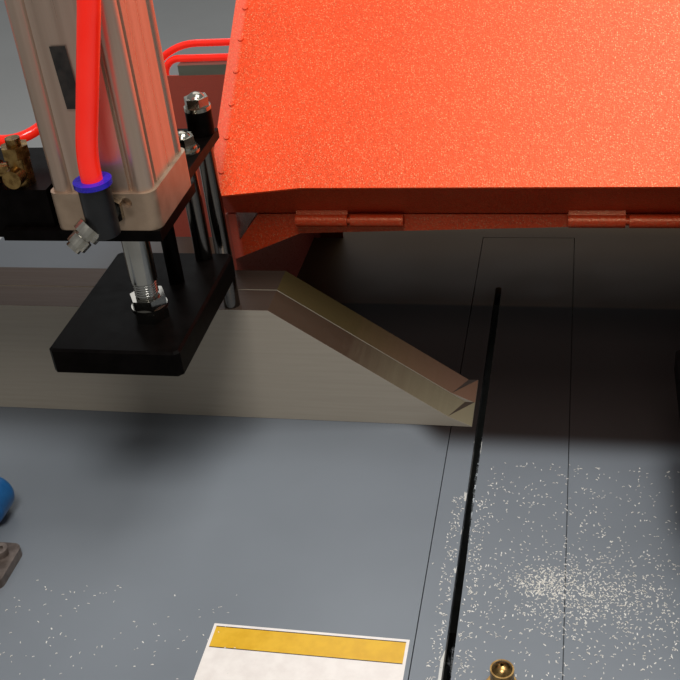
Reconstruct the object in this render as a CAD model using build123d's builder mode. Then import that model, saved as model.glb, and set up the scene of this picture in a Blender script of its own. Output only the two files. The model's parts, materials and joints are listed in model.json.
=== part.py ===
from build123d import *
import math
import os

os.makedirs("parts", exist_ok=True)

# All sizes in millimetres. X runs along the fence (0 at the saw slot), Y runs from the
# operator to the back (0 at the fence face), Z is up (0 at the floor).

# Table
table_top = 850.0
table_x = 1260.0
table_front = -420.0
table_back = 400.0
table_t = 16.0
table_under = table_top - table_t
insert_left = -25.0
insert_right = 77.0
insert_front = -400.0
insert_back = 350.0
insert_t = 8.0
insert_gap = 0.8
insert_ledge = 8.0
slot_w = 6.5
slot_front = -325.0
slot_back = 240.0
table_corner = 3.0

# Cabinet frame
tube_s = 50.0
tube_wall = 3.0
leg_x = 530.0
leg_y = 335.0
leg_foot = 60.0
rail_low = 110.0
sheet_t = 2.0
pad_r = 45.0
pad_t = 10.0
hub_r = 18.0
hub_top_r = 11.0
hub_h = 12.0
anchor_off = 32.0
anchor_r = 6.0
stud_r = 8.0
stud_in = 20.0
lock_nut_h = 13.0
lock_nut_flats = 24.0
leg_plate_t = 6.0

# Fence: two bars side by side, each ending in a long slope beside the saw slot
fence_h = 118.0
bar_t = 33.5
bar_gap = 1.0
fence_end = 600.0
slope_top = 179.0
slope_toe = 16.0
toe_h = 2.5
toe_len = 9.0
toe_cut = 12.0
bevel_run = 12.0
right_shift = 181.0
right_steeper = 20.0

# Hood
hood_left = -228.0
hood_right = 248.0
hood_t = 2.5
hood_angle = 37.0
hood_edge_y = 40.0
hood_edge_z = table_top + 214.5
hood_len = 330.0
hood_flat = 42.0
hood_flare = 8.5
hood_flare_x = 80.0
lip_y = 70.0
lip_z = table_top + 176.0
beam_clear = 1.5
beam_low_left = table_top + 153.5
beam_low_right = table_top + 168.5
beam_d = 24.0
box_top = table_top + 174.0
gusset_w = 64.5
gusset_low = table_top + 128.5
gusset_t = 3.0
hinge_r = 5.4
hinge_pin_r = 2.8
hinge_y = 64.0
hinge_z = table_top + 171.5
hinge_half = 46.0
hinge_gap = 3.0
hinge_at = (-114.0, 119.5)
leaf_t = 3.0
rail_z = table_top + 203.0
rivet_pitch = 33.0
rivet_start = 16.0
rivet_count = 9
rivet_in = 10.0
rivet_r = 3.0
rivet_h = 1.2

# Clamp units (axis positions, foot drop at rest)
clamp_left = -229.5
clamp_right = 222.0
unit_xs = (clamp_left, clamp_right)
clamp_y = -117.0
right_drop = 81.0
cap_s = 75.0
cap_h = 27.0
cap_r = 8.0
cap_screw_r = 4.5
cap_screw_deep = 5.0
port_r_air = 3.6
port_dx = 18.0
port_deep = 4.0
barrel_bore = 63.0
barrel_len = 222.0
lobe_at = 28.0
lobe_r = 7.5
barrel_core = 63.0
barrel_corner = 6.0
barrel_flat = 40.0
barrel_flat_out = 69.0
plate_t = 8.0
cap_z = table_top + 278.0
plate_z = cap_z - plate_t
barrel_z = cap_z + cap_h
rear_cap_z = barrel_z + barrel_len
rod_r = 10.0
rod_thread_r = 8.0
run_fit = 0.05
foot_top = table_top + 186.0
foot_t = 20.0
foot_left = 64.5
foot_right = 36.0
foot_front = -165.0
foot_back = -20.0
foot_corner = 3.5
foot_edge = 1.8
guide_r = 6.0
guide_dx = 2.7
guide_y = -66.0
guide_len = 270.0
stop_r = 7.0
stop_stud_r = 5.0
stop_dx = 13.5
stop_y = -28.0
post_r = 7.0
post_x = -213.0
post_y = 8.5
sleeve_r = 10.5
sleeve_h = 20.0
side_post_r = 15.0
side_post_x = 515.0
mid_post_x = 400.0
side_post_y = 34.0
beam_y0 = -150.0
beam_y1 = -80.0
beam_h = 28.0
beam_top = cap_z + beam_h
port_z = cap_z + 14.0
fitting_y = -168.0
tube_big_r = 7.0
tube_small_r = 4.0

# Saw unit
blade_r = 250.0
blade_t = 3.4
teeth = 96
blade_y = -42.0
blade_drop = 270.0
blade_z = table_top - blade_drop
column_x = 90.0
column_r = 17.5
column_ys = (-235.0, 165.0)
shaft_r = 15.0
motor_drop = 200.0
motor_r = 90.0
motor_shaft_r = 14.0
pulley_r = 40.0
motor_pulley_r = 45.0
belt_t = 5.0
lift_x = 155.0
lift_y = 112.0
pan_top = rail_low + tube_s + sheet_t


def save(part, label):
    part.label = label
    export_step(part, "parts/" + label + ".step")


def box_span(x0, x1, y0, y1, z0, z1, mode=Mode.ADD):
    """A box between two corners, added to the part being built."""
    with Locations(((x0 + x1) / 2, (y0 + y1) / 2, (z0 + z1) / 2)):
        Box(x1 - x0, y1 - y0, z1 - z0, mode=mode)


def rod_z(x, y, z0, z1, r, mode=Mode.ADD):
    """An upright round bar."""
    with Locations((x, y, (z0 + z1) / 2)):
        Cylinder(r, z1 - z0, mode=mode)


def rod_x(y, z, x0, x1, r, mode=Mode.ADD):
    """A round bar along X."""
    with Locations(((x0 + x1) / 2, y, z)):
        Cylinder(r, x1 - x0, rotation=(0, 90, 0), mode=mode)


def rod_y(x, z, y0, y1, r, mode=Mode.ADD):
    """A round bar along Y."""
    with Locations((x, (y0 + y1) / 2, z)):
        Cylinder(r, y1 - y0, rotation=(90, 0, 0), mode=mode)


def hex_z(x, y, z0, h, flats, mode=Mode.ADD):
    """An upright hexagon, as a nut."""
    with BuildSketch(Plane.XY.offset(z0)) as outline:
        with Locations((x, y)):
            RegularPolygon(flats / 2, 6, major_radius=False)
    extrude(outline.sketch, amount=h, mode=mode)


def plate_yz(points, x0, x1, mode=Mode.ADD):
    """A sheet with a side-on outline given as (y, z) points, from x0 to x1."""
    with BuildSketch(Plane(origin=(x0, 0, 0), x_dir=(0, 1, 0), z_dir=(1, 0, 0))) as outline:
        with BuildLine():
            Polyline(*points, close=True)
        make_face()
    extrude(outline.sketch, amount=x1 - x0, mode=mode)


def plate_xz(points, y0, y1, mode=Mode.ADD):
    """A sheet with a front-on outline given as (x, z) points, from y0 to y1."""
    with BuildSketch(Plane(origin=(0, y0, 0), x_dir=(1, 0, 0), z_dir=(0, -1, 0))) as outline:
        with BuildLine():
            Polyline(*points, close=True)
        make_face()
    extrude(outline.sketch, amount=y0 - y1, mode=mode)


# Cabinet frame of square tube
leg_top = table_under
rail_spans = (rail_low, table_under - tube_s)
half = tube_s / 2
inner = half - tube_wall
with BuildPart() as base_frame:
    for x in (-leg_x, leg_x):
        for y in (-leg_y, leg_y):
            box_span(x - half, x + half, y - half, y + half, leg_foot, leg_top)
    for z in rail_spans:
        for y in (-leg_y, leg_y):
            box_span(-leg_x, leg_x, y - half, y + half, z, z + tube_s)
        for x in (-leg_x, leg_x):
            box_span(x - half, x + half, -leg_y, leg_y, z, z + tube_s)
    box_span(column_x - half, column_x + half, -leg_y, leg_y, rail_low, rail_low + tube_s)
    for x in (-leg_x, leg_x):
        for y in (-leg_y, leg_y):
            box_span(x - inner, x + inner, y - inner, y + inner, leg_foot, leg_top, Mode.SUBTRACT)
    for z in rail_spans:
        zc = z + half
        for y in (-leg_y, leg_y):
            box_span(-leg_x, leg_x, y - inner, y + inner, zc - inner, zc + inner, Mode.SUBTRACT)
        for x in (-leg_x, leg_x):
            box_span(x - inner, x + inner, -leg_y, leg_y, zc - inner, zc + inner, Mode.SUBTRACT)
    zc = rail_low + half
    x = column_x
    box_span(x - inner, x + inner, -leg_y, leg_y, zc - inner, zc + inner, Mode.SUBTRACT)
save(base_frame.part, "base_frame")

# Levelling feet: pad with an anchor hole, stud, lock nut and leg end plate
with BuildPart() as levelling_feet:
    for x in (-leg_x, leg_x):
        side = 1 if x > 0 else -1
        for y in (-leg_y, leg_y):
            rod_z(x, y, 0, pad_t, pad_r)
            with Locations((x, y, pad_t + hub_h / 2)):
                Cone(hub_r, hub_top_r, hub_h)
            rod_z(x, y, pad_t, leg_foot + stud_in, stud_r)
            hex_z(x, y, leg_foot - leg_plate_t - lock_nut_h, lock_nut_h, lock_nut_flats)
            box_span(x - half, x + half, y - half, y + half, leg_foot - leg_plate_t, leg_foot)
            rod_z(x + side * anchor_off, y, 0, pad_t, anchor_r, Mode.SUBTRACT)
save(levelling_feet.part, "levelling_feet")

# Sheet covers of the cabinet
side_out = leg_x + half
front_out = -leg_y - half
back_out = leg_y + half
louvre_h = 6.0
louvre_w = 110.0
louvre_pitch = 23.0
side_louvres = 7
side_louvre_y = 60.0
side_louvre_z = 400.0
rear_louvres = 9
rear_louvre_xs = (60.0, 250.0, 440.0)
rear_louvre_z = 529.0
with BuildPart() as side_panels:
    box_span(-side_out - sheet_t, -side_out, front_out, back_out, rail_low, leg_top)
    box_span(side_out, side_out + sheet_t, front_out, back_out, rail_low, leg_top)
    with BuildSketch(Plane(origin=(side_out, side_louvre_y, side_louvre_z), x_dir=(0, 1, 0), z_dir=(1, 0, 0))):
        with GridLocations(0, louvre_pitch, 1, side_louvres):
            SlotOverall(louvre_w, louvre_h)
    extrude(amount=sheet_t, mode=Mode.SUBTRACT)
save(side_panels.part, "side_panels")

port_r = 50.0
port_len = 55.0
port_wall = 2.0
port_x = -250.0
port_level = 300.0
port_flange = 62.0
with BuildPart() as rear_panel:
    box_span(-side_out, side_out, back_out, back_out + sheet_t, rail_low, leg_top)
    for x in rear_louvre_xs:
        with BuildSketch(Plane(origin=(x, back_out, rear_louvre_z), x_dir=(-1, 0, 0), z_dir=(0, 1, 0))):
            with GridLocations(0, louvre_pitch, 1, rear_louvres):
                SlotOverall(louvre_w, louvre_h)
        extrude(amount=sheet_t, mode=Mode.SUBTRACT)
    rod_y(port_x, port_level, back_out, back_out + sheet_t, port_r, Mode.SUBTRACT)
save(rear_panel.part, "rear_panel")

with BuildPart() as dust_spigot:
    rod_y(port_x, port_level, back_out, back_out + port_len, port_r)
    rod_y(port_x, port_level, back_out + sheet_t, back_out + 2 * sheet_t, port_flange)
    rod_y(port_x, port_level, back_out, back_out + port_len, port_r - port_wall, Mode.SUBTRACT)
save(dust_spigot.part, "dust_spigot")

apron_h = 200.0
apron_low = table_top - apron_h
apron_fold = 25.0
panel_gap = 3.0
drawer_h = 208.0
drawer_top = rail_low + drawer_h
door_low = drawer_top + panel_gap
door_top = apron_low - panel_gap
drawer_split = 41.0
with BuildPart() as front_panels:
    box_span(-side_out, side_out, front_out - sheet_t, front_out, apron_low, leg_top)
    box_span(-side_out + tube_s, side_out - tube_s, front_out, front_out + apron_fold,
             apron_low, apron_low + sheet_t)
    box_span(drawer_split + panel_gap / 2, side_out, front_out - sheet_t, front_out, rail_low, drawer_top)
save(front_panels.part, "front_panels")

runner_h = 14.0
runner_w = 10.0
runner_gap = 3.0
drawer_left = -485.0
drawer_right = 30.0
drawer_back = 190.0
pan_in = leg_x - half - 1
with BuildPart() as base_pan:
    box_span(-pan_in, pan_in, front_out, back_out, pan_top - sheet_t, pan_top)
    for x in (drawer_left - runner_gap - runner_w, drawer_right + runner_gap):
        box_span(x, x + runner_w, front_out + panel_gap, drawer_back, pan_top, pan_top + runner_h)
save(base_pan.part, "base_pan")

# Table top with a window and a ledge for the insert plate
with BuildPart() as table_plate:
    box_span(-table_x / 2, table_x / 2, table_front, table_back, table_under, table_top)
    g = insert_gap
    box_span(insert_left - g, insert_right + g, insert_front - g, insert_back + g,
             table_top - insert_t, table_top, Mode.SUBTRACT)
    e = insert_ledge
    box_span(insert_left + e, insert_right - e, insert_front + e, insert_back - e,
             table_under, table_top, Mode.SUBTRACT)
    chamfer(table_plate.edges().filter_by(Axis.Z).group_by(SortBy.LENGTH)[-1], table_corner)
save(table_plate.part, "table_plate")

with BuildPart() as table_insert:
    box_span(insert_left, insert_right, insert_front, insert_back, table_top - insert_t, table_top)
    with BuildSketch(Plane.XY.offset(table_top)):
        with Locations((0, (slot_front + slot_back) / 2)):
            SlotOverall(slot_back - slot_front, slot_w, rotation=90)
    extrude(amount=-insert_t, mode=Mode.SUBTRACT)
save(table_insert.part, "table_insert")


# Fence bars
def fence_outline(toe, top, end):
    z = table_top
    run = top - toe
    return [(toe - toe_len, z), (toe - toe_len, z + toe_h), (toe, z + toe_h), (toe + run, z + fence_h),
            (end, z + fence_h), (end, z)]


def fence_bar(side, y0, toe, top):
    pts = [(side * p[0], p[1]) for p in fence_outline(toe, top, fence_end)]
    plate_xz(pts, y0, y0 + bar_t)
    # a bevel takes the front corner off the toe
    bevel_z = toe_h + (fence_h - toe_h) * bevel_run / (top - toe)
    high = Vector(side * (toe + bevel_run), y0, table_top + bevel_z)
    far = Vector(side * (toe - toe_len + 1), y0 + bar_t, table_top + toe_h)
    near = Vector(side * (toe - toe_len + 1), y0, table_top + toe_h / 3)
    normal = (far - high).cross(near - high)
    if normal.Z < 0:
        normal = normal * -1
    with BuildSketch(Plane(origin=near, x_dir=far - near, z_dir=normal)) as outline:
        Rectangle(3 * bar_t, 3 * bar_t)
    extrude(outline.sketch, amount=toe_cut, mode=Mode.SUBTRACT)


back_y = bar_t + bar_gap
with BuildPart() as fence_left:
    for y in (0, back_y):
        fence_bar(-1, y, slope_toe, slope_top)
save(fence_left.part, "fence_left")
with BuildPart() as fence_right:
    for y in (0, back_y):
        fence_bar(1, y, slope_toe + right_shift, slope_top + right_shift - right_steeper)
save(fence_right.part, "fence_right")

# Hood: fixed lower box
ca = math.cos(math.radians(hood_angle))
sa = math.sin(math.radians(hood_angle))
crest_y = hood_edge_y + hood_len * ca
crest_z = hood_edge_z + hood_len * sa
rear_y = crest_y + hood_flat
beam_top_z = lip_z - beam_clear
gusset_hole = ((7, 0), (29, 0), (7, -28))
hood_ends = ((1, hood_left + hood_t), (-1, hood_right - hood_t))


def beam_low(x):
    """Height of the beam's sloping lower edge."""
    share = (x - hood_left) / (hood_right - hood_left)
    return beam_low_left + share * (beam_low_right - beam_low_left)


with BuildPart() as hood_beam:
    for side, edge in hood_ends:
        tip = edge + side * gusset_w
        plate_xz([(edge, beam_top_z), (edge, gusset_low), (tip, beam_low(tip)), (tip, beam_top_z)],
                 lip_y, lip_y + gusset_t)
    plate_xz([(x, z) for side, x in hood_ends for z in (beam_top_z, beam_low(x))[::side]],
             lip_y, lip_y + beam_d)
    for side, edge in hood_ends:
        plate_xz([(edge + side * dx, lip_z + dz) for dx, dz in gusset_hole],
                 lip_y - 1, lip_y + beam_d + 1, Mode.SUBTRACT)
save(hood_beam.part, "hood_beam")

# the rear sheet is wider than the hood, carries the rail and is open for chips at the bottom
guard_x = 400.0
guard_gap = 2.0
chute_left = -190.0
chute_right = 210.0
chute_h = 90.0
guard_y = rear_y + guard_gap
with BuildPart() as hood_box_walls:
    for x in (hood_left, hood_right - hood_t):
        box_span(x, x + hood_t, lip_y, guard_y, table_top, box_top)
    box_span(-guard_x, guard_x, guard_y, guard_y + hood_t, table_top, rail_z)
    box_span(chute_left, chute_right, guard_y, guard_y + hood_t, table_top, table_top + chute_h, Mode.SUBTRACT)
save(hood_box_walls.part, "hood_box_walls")

# Hood: tipping shell
top_plane = Plane(origin=(0, hood_edge_y, hood_edge_z), x_dir=(1, 0, 0), z_dir=(0, -sa, ca))
with BuildPart() as hood_top:
    with BuildSketch(top_plane):
        with BuildLine():
            Polyline((hood_left, -hood_flare), (hood_left + hood_flare_x, 0),
                     (hood_right - hood_flare_x, 0), (hood_right, -hood_flare),
                     (hood_right, hood_len), (hood_left, hood_len), close=True)
        make_face()
    extrude(amount=-hood_t)
    box_span(hood_left, hood_right, crest_y - 1.5, rear_y, crest_z - hood_t, crest_z)
    # rivets along both long edges
    with BuildSketch(top_plane):
        for k in range(rivet_count):
            for x in (hood_left + rivet_in, hood_right - rivet_in):
                with Locations((x, rivet_start + k * rivet_pitch)):
                    Circle(rivet_r)
    extrude(amount=rivet_h, taper=25)
save(hood_top.part, "hood_top")

# undercut front lip, folded from the edge down to the hinge line
lip_dy = lip_y - hood_edge_y
lip_dz = hood_edge_z - lip_z
lip_len = math.hypot(lip_dy, lip_dz)
thick_y = lip_dz / lip_len * hood_t
thick_z = lip_dy / lip_len * hood_t
edge_in_y = hood_edge_y + 2.4
edge_in_z = hood_edge_z - 2.6
with BuildPart() as hood_lip:
    plate_yz([(edge_in_y, edge_in_z), (lip_y, lip_z), (lip_y + thick_y, lip_z + thick_z),
              (edge_in_y + thick_y, edge_in_z + thick_z - 1.0)],
             hood_left + hood_t, hood_right - hood_t)
save(hood_lip.part, "hood_lip")

top_in_y = hood_edge_y + hood_t * sa
top_in_z = hood_edge_z - hood_t * ca
side_outline = [(top_in_y, top_in_z), (lip_y, lip_z), (rear_y - hood_t, lip_z),
                (rear_y - hood_t, crest_z - hood_t), (crest_y + 1, crest_z - hood_t)]
with BuildPart() as hood_walls:
    plate_yz(side_outline, hood_left, hood_left + hood_t)
    plate_yz(side_outline, hood_right - hood_t, hood_right)
    box_span(hood_left, hood_right, rear_y - hood_t, rear_y, lip_z, crest_z - hood_t)
save(hood_walls.part, "hood_walls")

# Barrel hinges: the half on the beam carries the pin, the other half turns on it
with BuildPart() as hinge_fixed:
    for x in hinge_at:
        x1 = x + hinge_gap / 2
        rod_x(hinge_y, hinge_z, x1, x1 + hinge_half, hinge_r)
        box_span(x1, x1 + hinge_half, hinge_y, lip_y, hinge_z - hinge_r, hinge_z - 1.5)
        pin_half = hinge_half + hinge_gap / 2 - 0.5
        rod_x(hinge_y, hinge_z, x - pin_half, x + pin_half, hinge_pin_r)
save(hinge_fixed.part, "hinge_fixed")
with BuildPart() as hinge_moving:
    for x in hinge_at:
        x0 = x - hinge_gap / 2 - hinge_half
        rod_x(hinge_y, hinge_z, x0, x0 + hinge_half, hinge_r)
        plate_yz([(hinge_y - 1.5, hinge_z + 2), (hinge_y + 1.5, hinge_z + 2), (lip_y, lip_z),
                  (lip_y - leaf_t, lip_z + leaf_t * lip_dz / lip_dy)], x0, x0 + hinge_half)
        rod_x(hinge_y, hinge_z, x0, x0 + hinge_half, hinge_pin_r + run_fit, Mode.SUBTRACT)
save(hinge_moving.part, "hinge_moving")

# Brackets that carry the clamp cylinders
rod_hole = rod_r + 2


def bracket_holes(ax):
    rod_z(ax, clamp_y, plate_z, cap_z, rod_hole, Mode.SUBTRACT)
    rod_z(ax + guide_dx, guide_y, plate_z, cap_z, guide_r + run_fit, Mode.SUBTRACT)
    rod_z(ax + stop_dx, stop_y, plate_z, cap_z, stop_stud_r, Mode.SUBTRACT)


plate_back = 18.0
plate_out = 78.0
plate_step = 10.5
cap_clear = 2.5
beam_out = 570.0
arm_half = 25.0
arm_back = side_post_y + 22
side_posts = ((-side_post_x, side_post_y), (mid_post_x, side_post_y), (side_post_x, side_post_y))
nut_in = 8.0
cap_half = cap_s / 2
with BuildPart() as clamp_brackets:
    for side, ax in zip((-1, 1), unit_xs):
        inner_x = ax - side * cap_half
        outer_x = ax + side * plate_out
        beam_in = ax + side * (cap_half + cap_clear)
        x0, x1 = sorted((inner_x, outer_x))
        box_span(x0, x1, clamp_y - cap_half - 0.5, clamp_y + cap_half, plate_z, cap_z)
        x0, x1 = sorted((inner_x + side * plate_step, beam_in))
        box_span(x0, x1, clamp_y + cap_half, plate_back, plate_z, cap_z)
        x0, x1 = sorted((beam_in, side * beam_out))
        box_span(x0, x1, beam_y0, beam_y1, plate_z, beam_top)
        bracket_holes(ax)
    for x, y in side_posts:
        box_span(x - arm_half, x + arm_half, beam_y0, arm_back, plate_z, cap_z)
        rod_z(x, y, plate_z, cap_z, rod_thread_r, Mode.SUBTRACT)
    rod_z(post_x, post_y, cap_z, cap_z + sleeve_h, sleeve_r)
    rod_z(post_x, post_y, plate_z, cap_z + sleeve_h, stop_stud_r, Mode.SUBTRACT)
save(clamp_brackets.part, "clamp_brackets")

# Posts standing on the fence, and stop rods that the raised feet rest against
fence_top = table_top + fence_h
washer_t = 3.0
collar_w = 10.0
collar_h = 8.0
with BuildPart() as clamp_posts:
    rod_z(post_x, post_y, fence_top, plate_z, post_r)
    rod_z(post_x, post_y, plate_z, cap_z + sleeve_h + nut_in, stop_stud_r)
    for x, y in side_posts:
        rod_z(x, y, fence_top, plate_z, side_post_r)
        rod_z(x, y, fence_top, fence_top + collar_h, side_post_r + collar_w)
        rod_z(x, y, plate_z, cap_z + nut_in, rod_thread_r)
    for ax in unit_xs:
        rod_z(ax + stop_dx, stop_y, foot_top + 1, plate_z, stop_r)
        rod_z(ax + stop_dx, stop_y, plate_z, cap_z + washer_t + nut_in, stop_stud_r)
save(clamp_posts.part, "clamp_posts")


def acorn_nut(x, y, z0, flats, hole_r):
    """Domed nut on a washer."""
    hex_h = flats * nut_hex_ratio
    rod_z(x, y, z0, z0 + washer_t, flats * washer_ratio)
    hex_z(x, y, z0 + washer_t, hex_h, flats)
    with Locations((x, y, z0 + washer_t + hex_h)):
        Sphere(flats * nut_dome_ratio, arc_size1=0, arc_size2=90)
    rod_z(x, y, z0, z0 + nut_in, hole_r, Mode.SUBTRACT)


nut_hex_ratio = 0.42
nut_dome_ratio = 0.46
washer_ratio = 0.62
small_nut = 17.0
large_nut = 24.0
lower_washer_r = 12.5
with BuildPart() as acorn_nuts:
    acorn_nut(post_x, post_y, cap_z + sleeve_h, small_nut, stop_stud_r)
    for ax in unit_xs:
        rod_z(ax + stop_dx, stop_y, cap_z, cap_z + washer_t, lower_washer_r)
        rod_z(ax + stop_dx, stop_y, cap_z, cap_z + washer_t, stop_stud_r, Mode.SUBTRACT)
        acorn_nut(ax + stop_dx, stop_y, cap_z + washer_t, small_nut, stop_stud_r)
    for x, y in side_posts:
        acorn_nut(x, y, cap_z, large_nut, rod_thread_r)
save(acorn_nuts.part, "acorn_nuts")

# Clamp cylinders: caps and the profiled barrels
cap_front = clamp_y - cap_half
cap_rear = clamp_y + cap_half
port_side = 6.5
with BuildPart() as cylinder_caps:
    for ax in unit_xs:
        for z in (cap_z, rear_cap_z):
            with BuildSketch(Plane.XY.offset(z)):
                with Locations((ax, clamp_y)):
                    RectangleRounded(cap_s, cap_s, cap_r)
            extrude(amount=cap_h)
        rod_z(ax, clamp_y, cap_z, barrel_z, rod_r + run_fit, Mode.SUBTRACT)
        for z in (cap_z + cap_h - port_side, rear_cap_z + port_side):
            rod_y(ax + port_dx, z, cap_front, cap_front + port_deep, port_r_air, Mode.SUBTRACT)
        for dx in (-lobe_at, lobe_at):
            for dy in (-lobe_at, lobe_at):
                top = rear_cap_z + cap_h
                rod_z(ax + dx, clamp_y + dy, top - cap_screw_deep, top, cap_screw_r, Mode.SUBTRACT)
save(cylinder_caps.part, "cylinder_caps")

with BuildPart() as cylinder_barrels:
    for ax in unit_xs:
        with BuildSketch(Plane.XY.offset(barrel_z)):
            with Locations((ax, clamp_y)):
                RectangleRounded(barrel_core, barrel_core, barrel_corner)
                Rectangle(barrel_flat, barrel_flat_out)
                Rectangle(barrel_flat_out, barrel_flat)
                with GridLocations(2 * lobe_at, 2 * lobe_at, 2, 2):
                    Circle(lobe_r)
                Circle(barrel_bore / 2, mode=Mode.SUBTRACT)
        extrude(amount=barrel_len)
save(cylinder_barrels.part, "cylinder_barrels")


# Moving clamp pieces: rod with piston and jam nuts, foot with its guide rod
piston_clear = 0.4
piston_t = 24.0
piston_stop = 2.0
nut_h = 8.0
rod_washer_r = 13.5
thread_len = 48.0
rod_in_foot = foot_t - 4
guide_in_foot = 12.0


def clamp_rod(ax, drop):
    top = foot_top - drop
    piston_top = rear_cap_z - piston_stop - drop
    rod_z(ax, clamp_y, piston_top - piston_t, piston_top, barrel_bore / 2 - piston_clear)
    rod_z(ax, clamp_y, top - rod_in_foot + thread_len, piston_top, rod_r)
    rod_z(ax, clamp_y, top - rod_in_foot, top - rod_in_foot + thread_len, rod_thread_r)
    hex_z(ax, clamp_y, top, nut_h, large_nut)
    rod_z(ax, clamp_y, top + nut_h, top + nut_h + washer_t, rod_washer_r)
    hex_z(ax, clamp_y, top + nut_h + washer_t, nut_h, large_nut)


def clamp_foot(ax, drop):
    top = foot_top - drop
    box_span(ax - foot_left, ax + foot_right, foot_front, foot_back, top - foot_t, top)


def foot_details(ax, drop):
    top = foot_top - drop
    rod_z(ax, clamp_y, top - rod_in_foot, top, rod_thread_r, Mode.SUBTRACT)
    rod_z(ax + guide_dx, guide_y, top - guide_in_foot, top + guide_len, guide_r)


with BuildPart() as clamp_rod_left:
    clamp_rod(clamp_left, 0)
save(clamp_rod_left.part, "clamp_rod_left")
with BuildPart() as clamp_rod_right:
    clamp_rod(clamp_right, right_drop)
save(clamp_rod_right.part, "clamp_rod_right")
with BuildPart() as clamp_foot_left:
    clamp_foot(clamp_left, 0)
    chamfer(clamp_foot_left.edges().filter_by(Axis.Z), foot_corner)
    chamfer(clamp_foot_left.faces().sort_by(Axis.Z)[-1].edges(), foot_edge)
    foot_details(clamp_left, 0)
save(clamp_foot_left.part, "clamp_foot_left")
with BuildPart() as clamp_foot_right:
    clamp_foot(clamp_right, right_drop)
    chamfer(clamp_foot_right.edges().filter_by(Axis.Z), foot_corner)
    chamfer(clamp_foot_right.faces().sort_by(Axis.Z)[-1].edges(), foot_edge)
    foot_details(clamp_right, right_drop)
save(clamp_foot_right.part, "clamp_foot_right")

# Air fittings on the clamp cylinders
elbow_r = 10.5
elbow_dx = 4.5
elbow_low = port_z - 9
elbow_top = port_z + 26.5
elbow_seat = 12.0
elbow_stem_r = 8.0
ring_r = 12.5
ring_h = 3.5
rear_port_z = rear_cap_z + 12
rear_elbow_r = 7.5
rear_stem_r = 6.5
rear_ring_r = 7.0
rear_ring_h = 4.0
rear_seat = 10.0
rear_elbow_y = cap_rear + 13
rear_elbow_low = rear_port_z - 16
rear_elbow_x = (clamp_left - 18, clamp_right + 24)
with BuildPart() as air_elbows:
    for ax in unit_xs:
        rod_z(ax + elbow_dx, fitting_y, elbow_low, elbow_top, elbow_r)
        rod_y(ax + elbow_dx, port_z + 2, fitting_y, cap_front, elbow_stem_r)
        rod_z(ax + elbow_dx, fitting_y, elbow_top - elbow_seat, elbow_top, tube_big_r, Mode.SUBTRACT)
    for x in rear_elbow_x:
        rod_z(x, rear_elbow_y, rear_elbow_low, rear_port_z + rear_elbow_r, rear_elbow_r)
        rod_y(x, rear_port_z, cap_rear, rear_elbow_y, rear_stem_r)
        rod_z(x, rear_elbow_y, rear_elbow_low, rear_elbow_low + rear_seat, tube_small_r, Mode.SUBTRACT)
save(air_elbows.part, "air_elbows")


def ring_z(x, y, z0, h, r_out, r_in):
    """An upright ring."""
    with BuildSketch(Plane.XY.offset(z0)) as outline:
        with Locations((x, y)):
            Circle(r_out)
            Circle(r_in, mode=Mode.SUBTRACT)
    extrude(outline.sketch, amount=h)


with BuildPart() as release_rings:
    for ax in unit_xs:
        ring_z(ax + elbow_dx, fitting_y, elbow_top, ring_h, ring_r, tube_big_r)
    for x in rear_elbow_x:
        ring_z(x, rear_elbow_y, rear_elbow_low - rear_ring_h, rear_ring_h, rear_ring_r, tube_small_r)
save(release_rings.part, "release_rings")

# needle valve on each elbow: steps from the elbow outward (start, length, radius)
knob_lean = (-0.64, -0.52, -0.56)
knob_steps = ((6, 3, 5.0), (9, 7, 9.2), (16, 2, 5.5), (18, 7, 7.4), (25, 3, 5.2))
knob_facets = 18
port_nut_t = 4.0
port_nut_flats = 20.0
with BuildPart() as needle_knobs:
    for ax in unit_xs:
        plane = Plane(origin=(ax + elbow_dx, fitting_y, port_z + 3), z_dir=knob_lean)
        for start, length, radius in knob_steps:
            with BuildSketch(plane.offset(start)):
                RegularPolygon(radius, knob_facets)
            extrude(amount=length)
        with BuildSketch(Plane(origin=(ax + elbow_dx, cap_front, port_z + 2), z_dir=(0, -1, 0))):
            RegularPolygon(port_nut_flats / 2, 6, major_radius=False)
            Circle(elbow_stem_r, mode=Mode.SUBTRACT)
        extrude(amount=port_nut_t)
        rod_z(ax + elbow_dx, fitting_y, elbow_low, elbow_top, elbow_r, Mode.SUBTRACT)
save(needle_knobs.part, "needle_knobs")

# Valve blocks on the beams, with their fittings
valve_in = 336.0
valve_w = 90.0
valve_y = -122.0
valve_half = 24.0
valve_h = 30.0
valve_top = beam_top + valve_h
coil_in = (47.0, 73.0)
coil_half = 11.0
coil_front = 20.0
coil_back = 14.0
coil_h = 30.0
valve_side_y = -104.0
valve_side_z = beam_top + 16
riser_x = valve_in + 20
with BuildPart() as valve_blocks:
    for side in (-1, 1):
        x0, x1 = sorted((side * valve_in, side * (valve_in + valve_w)))
        box_span(x0, x1, valve_y - valve_half, valve_y + valve_half, beam_top, valve_top)
        for reach in coil_in:
            x = side * (valve_in + reach)
            box_span(x - coil_half, x + coil_half, valve_y - coil_front, valve_y + coil_back,
                     valve_top, valve_top + coil_h)
save(valve_blocks.part, "valve_blocks")

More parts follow.
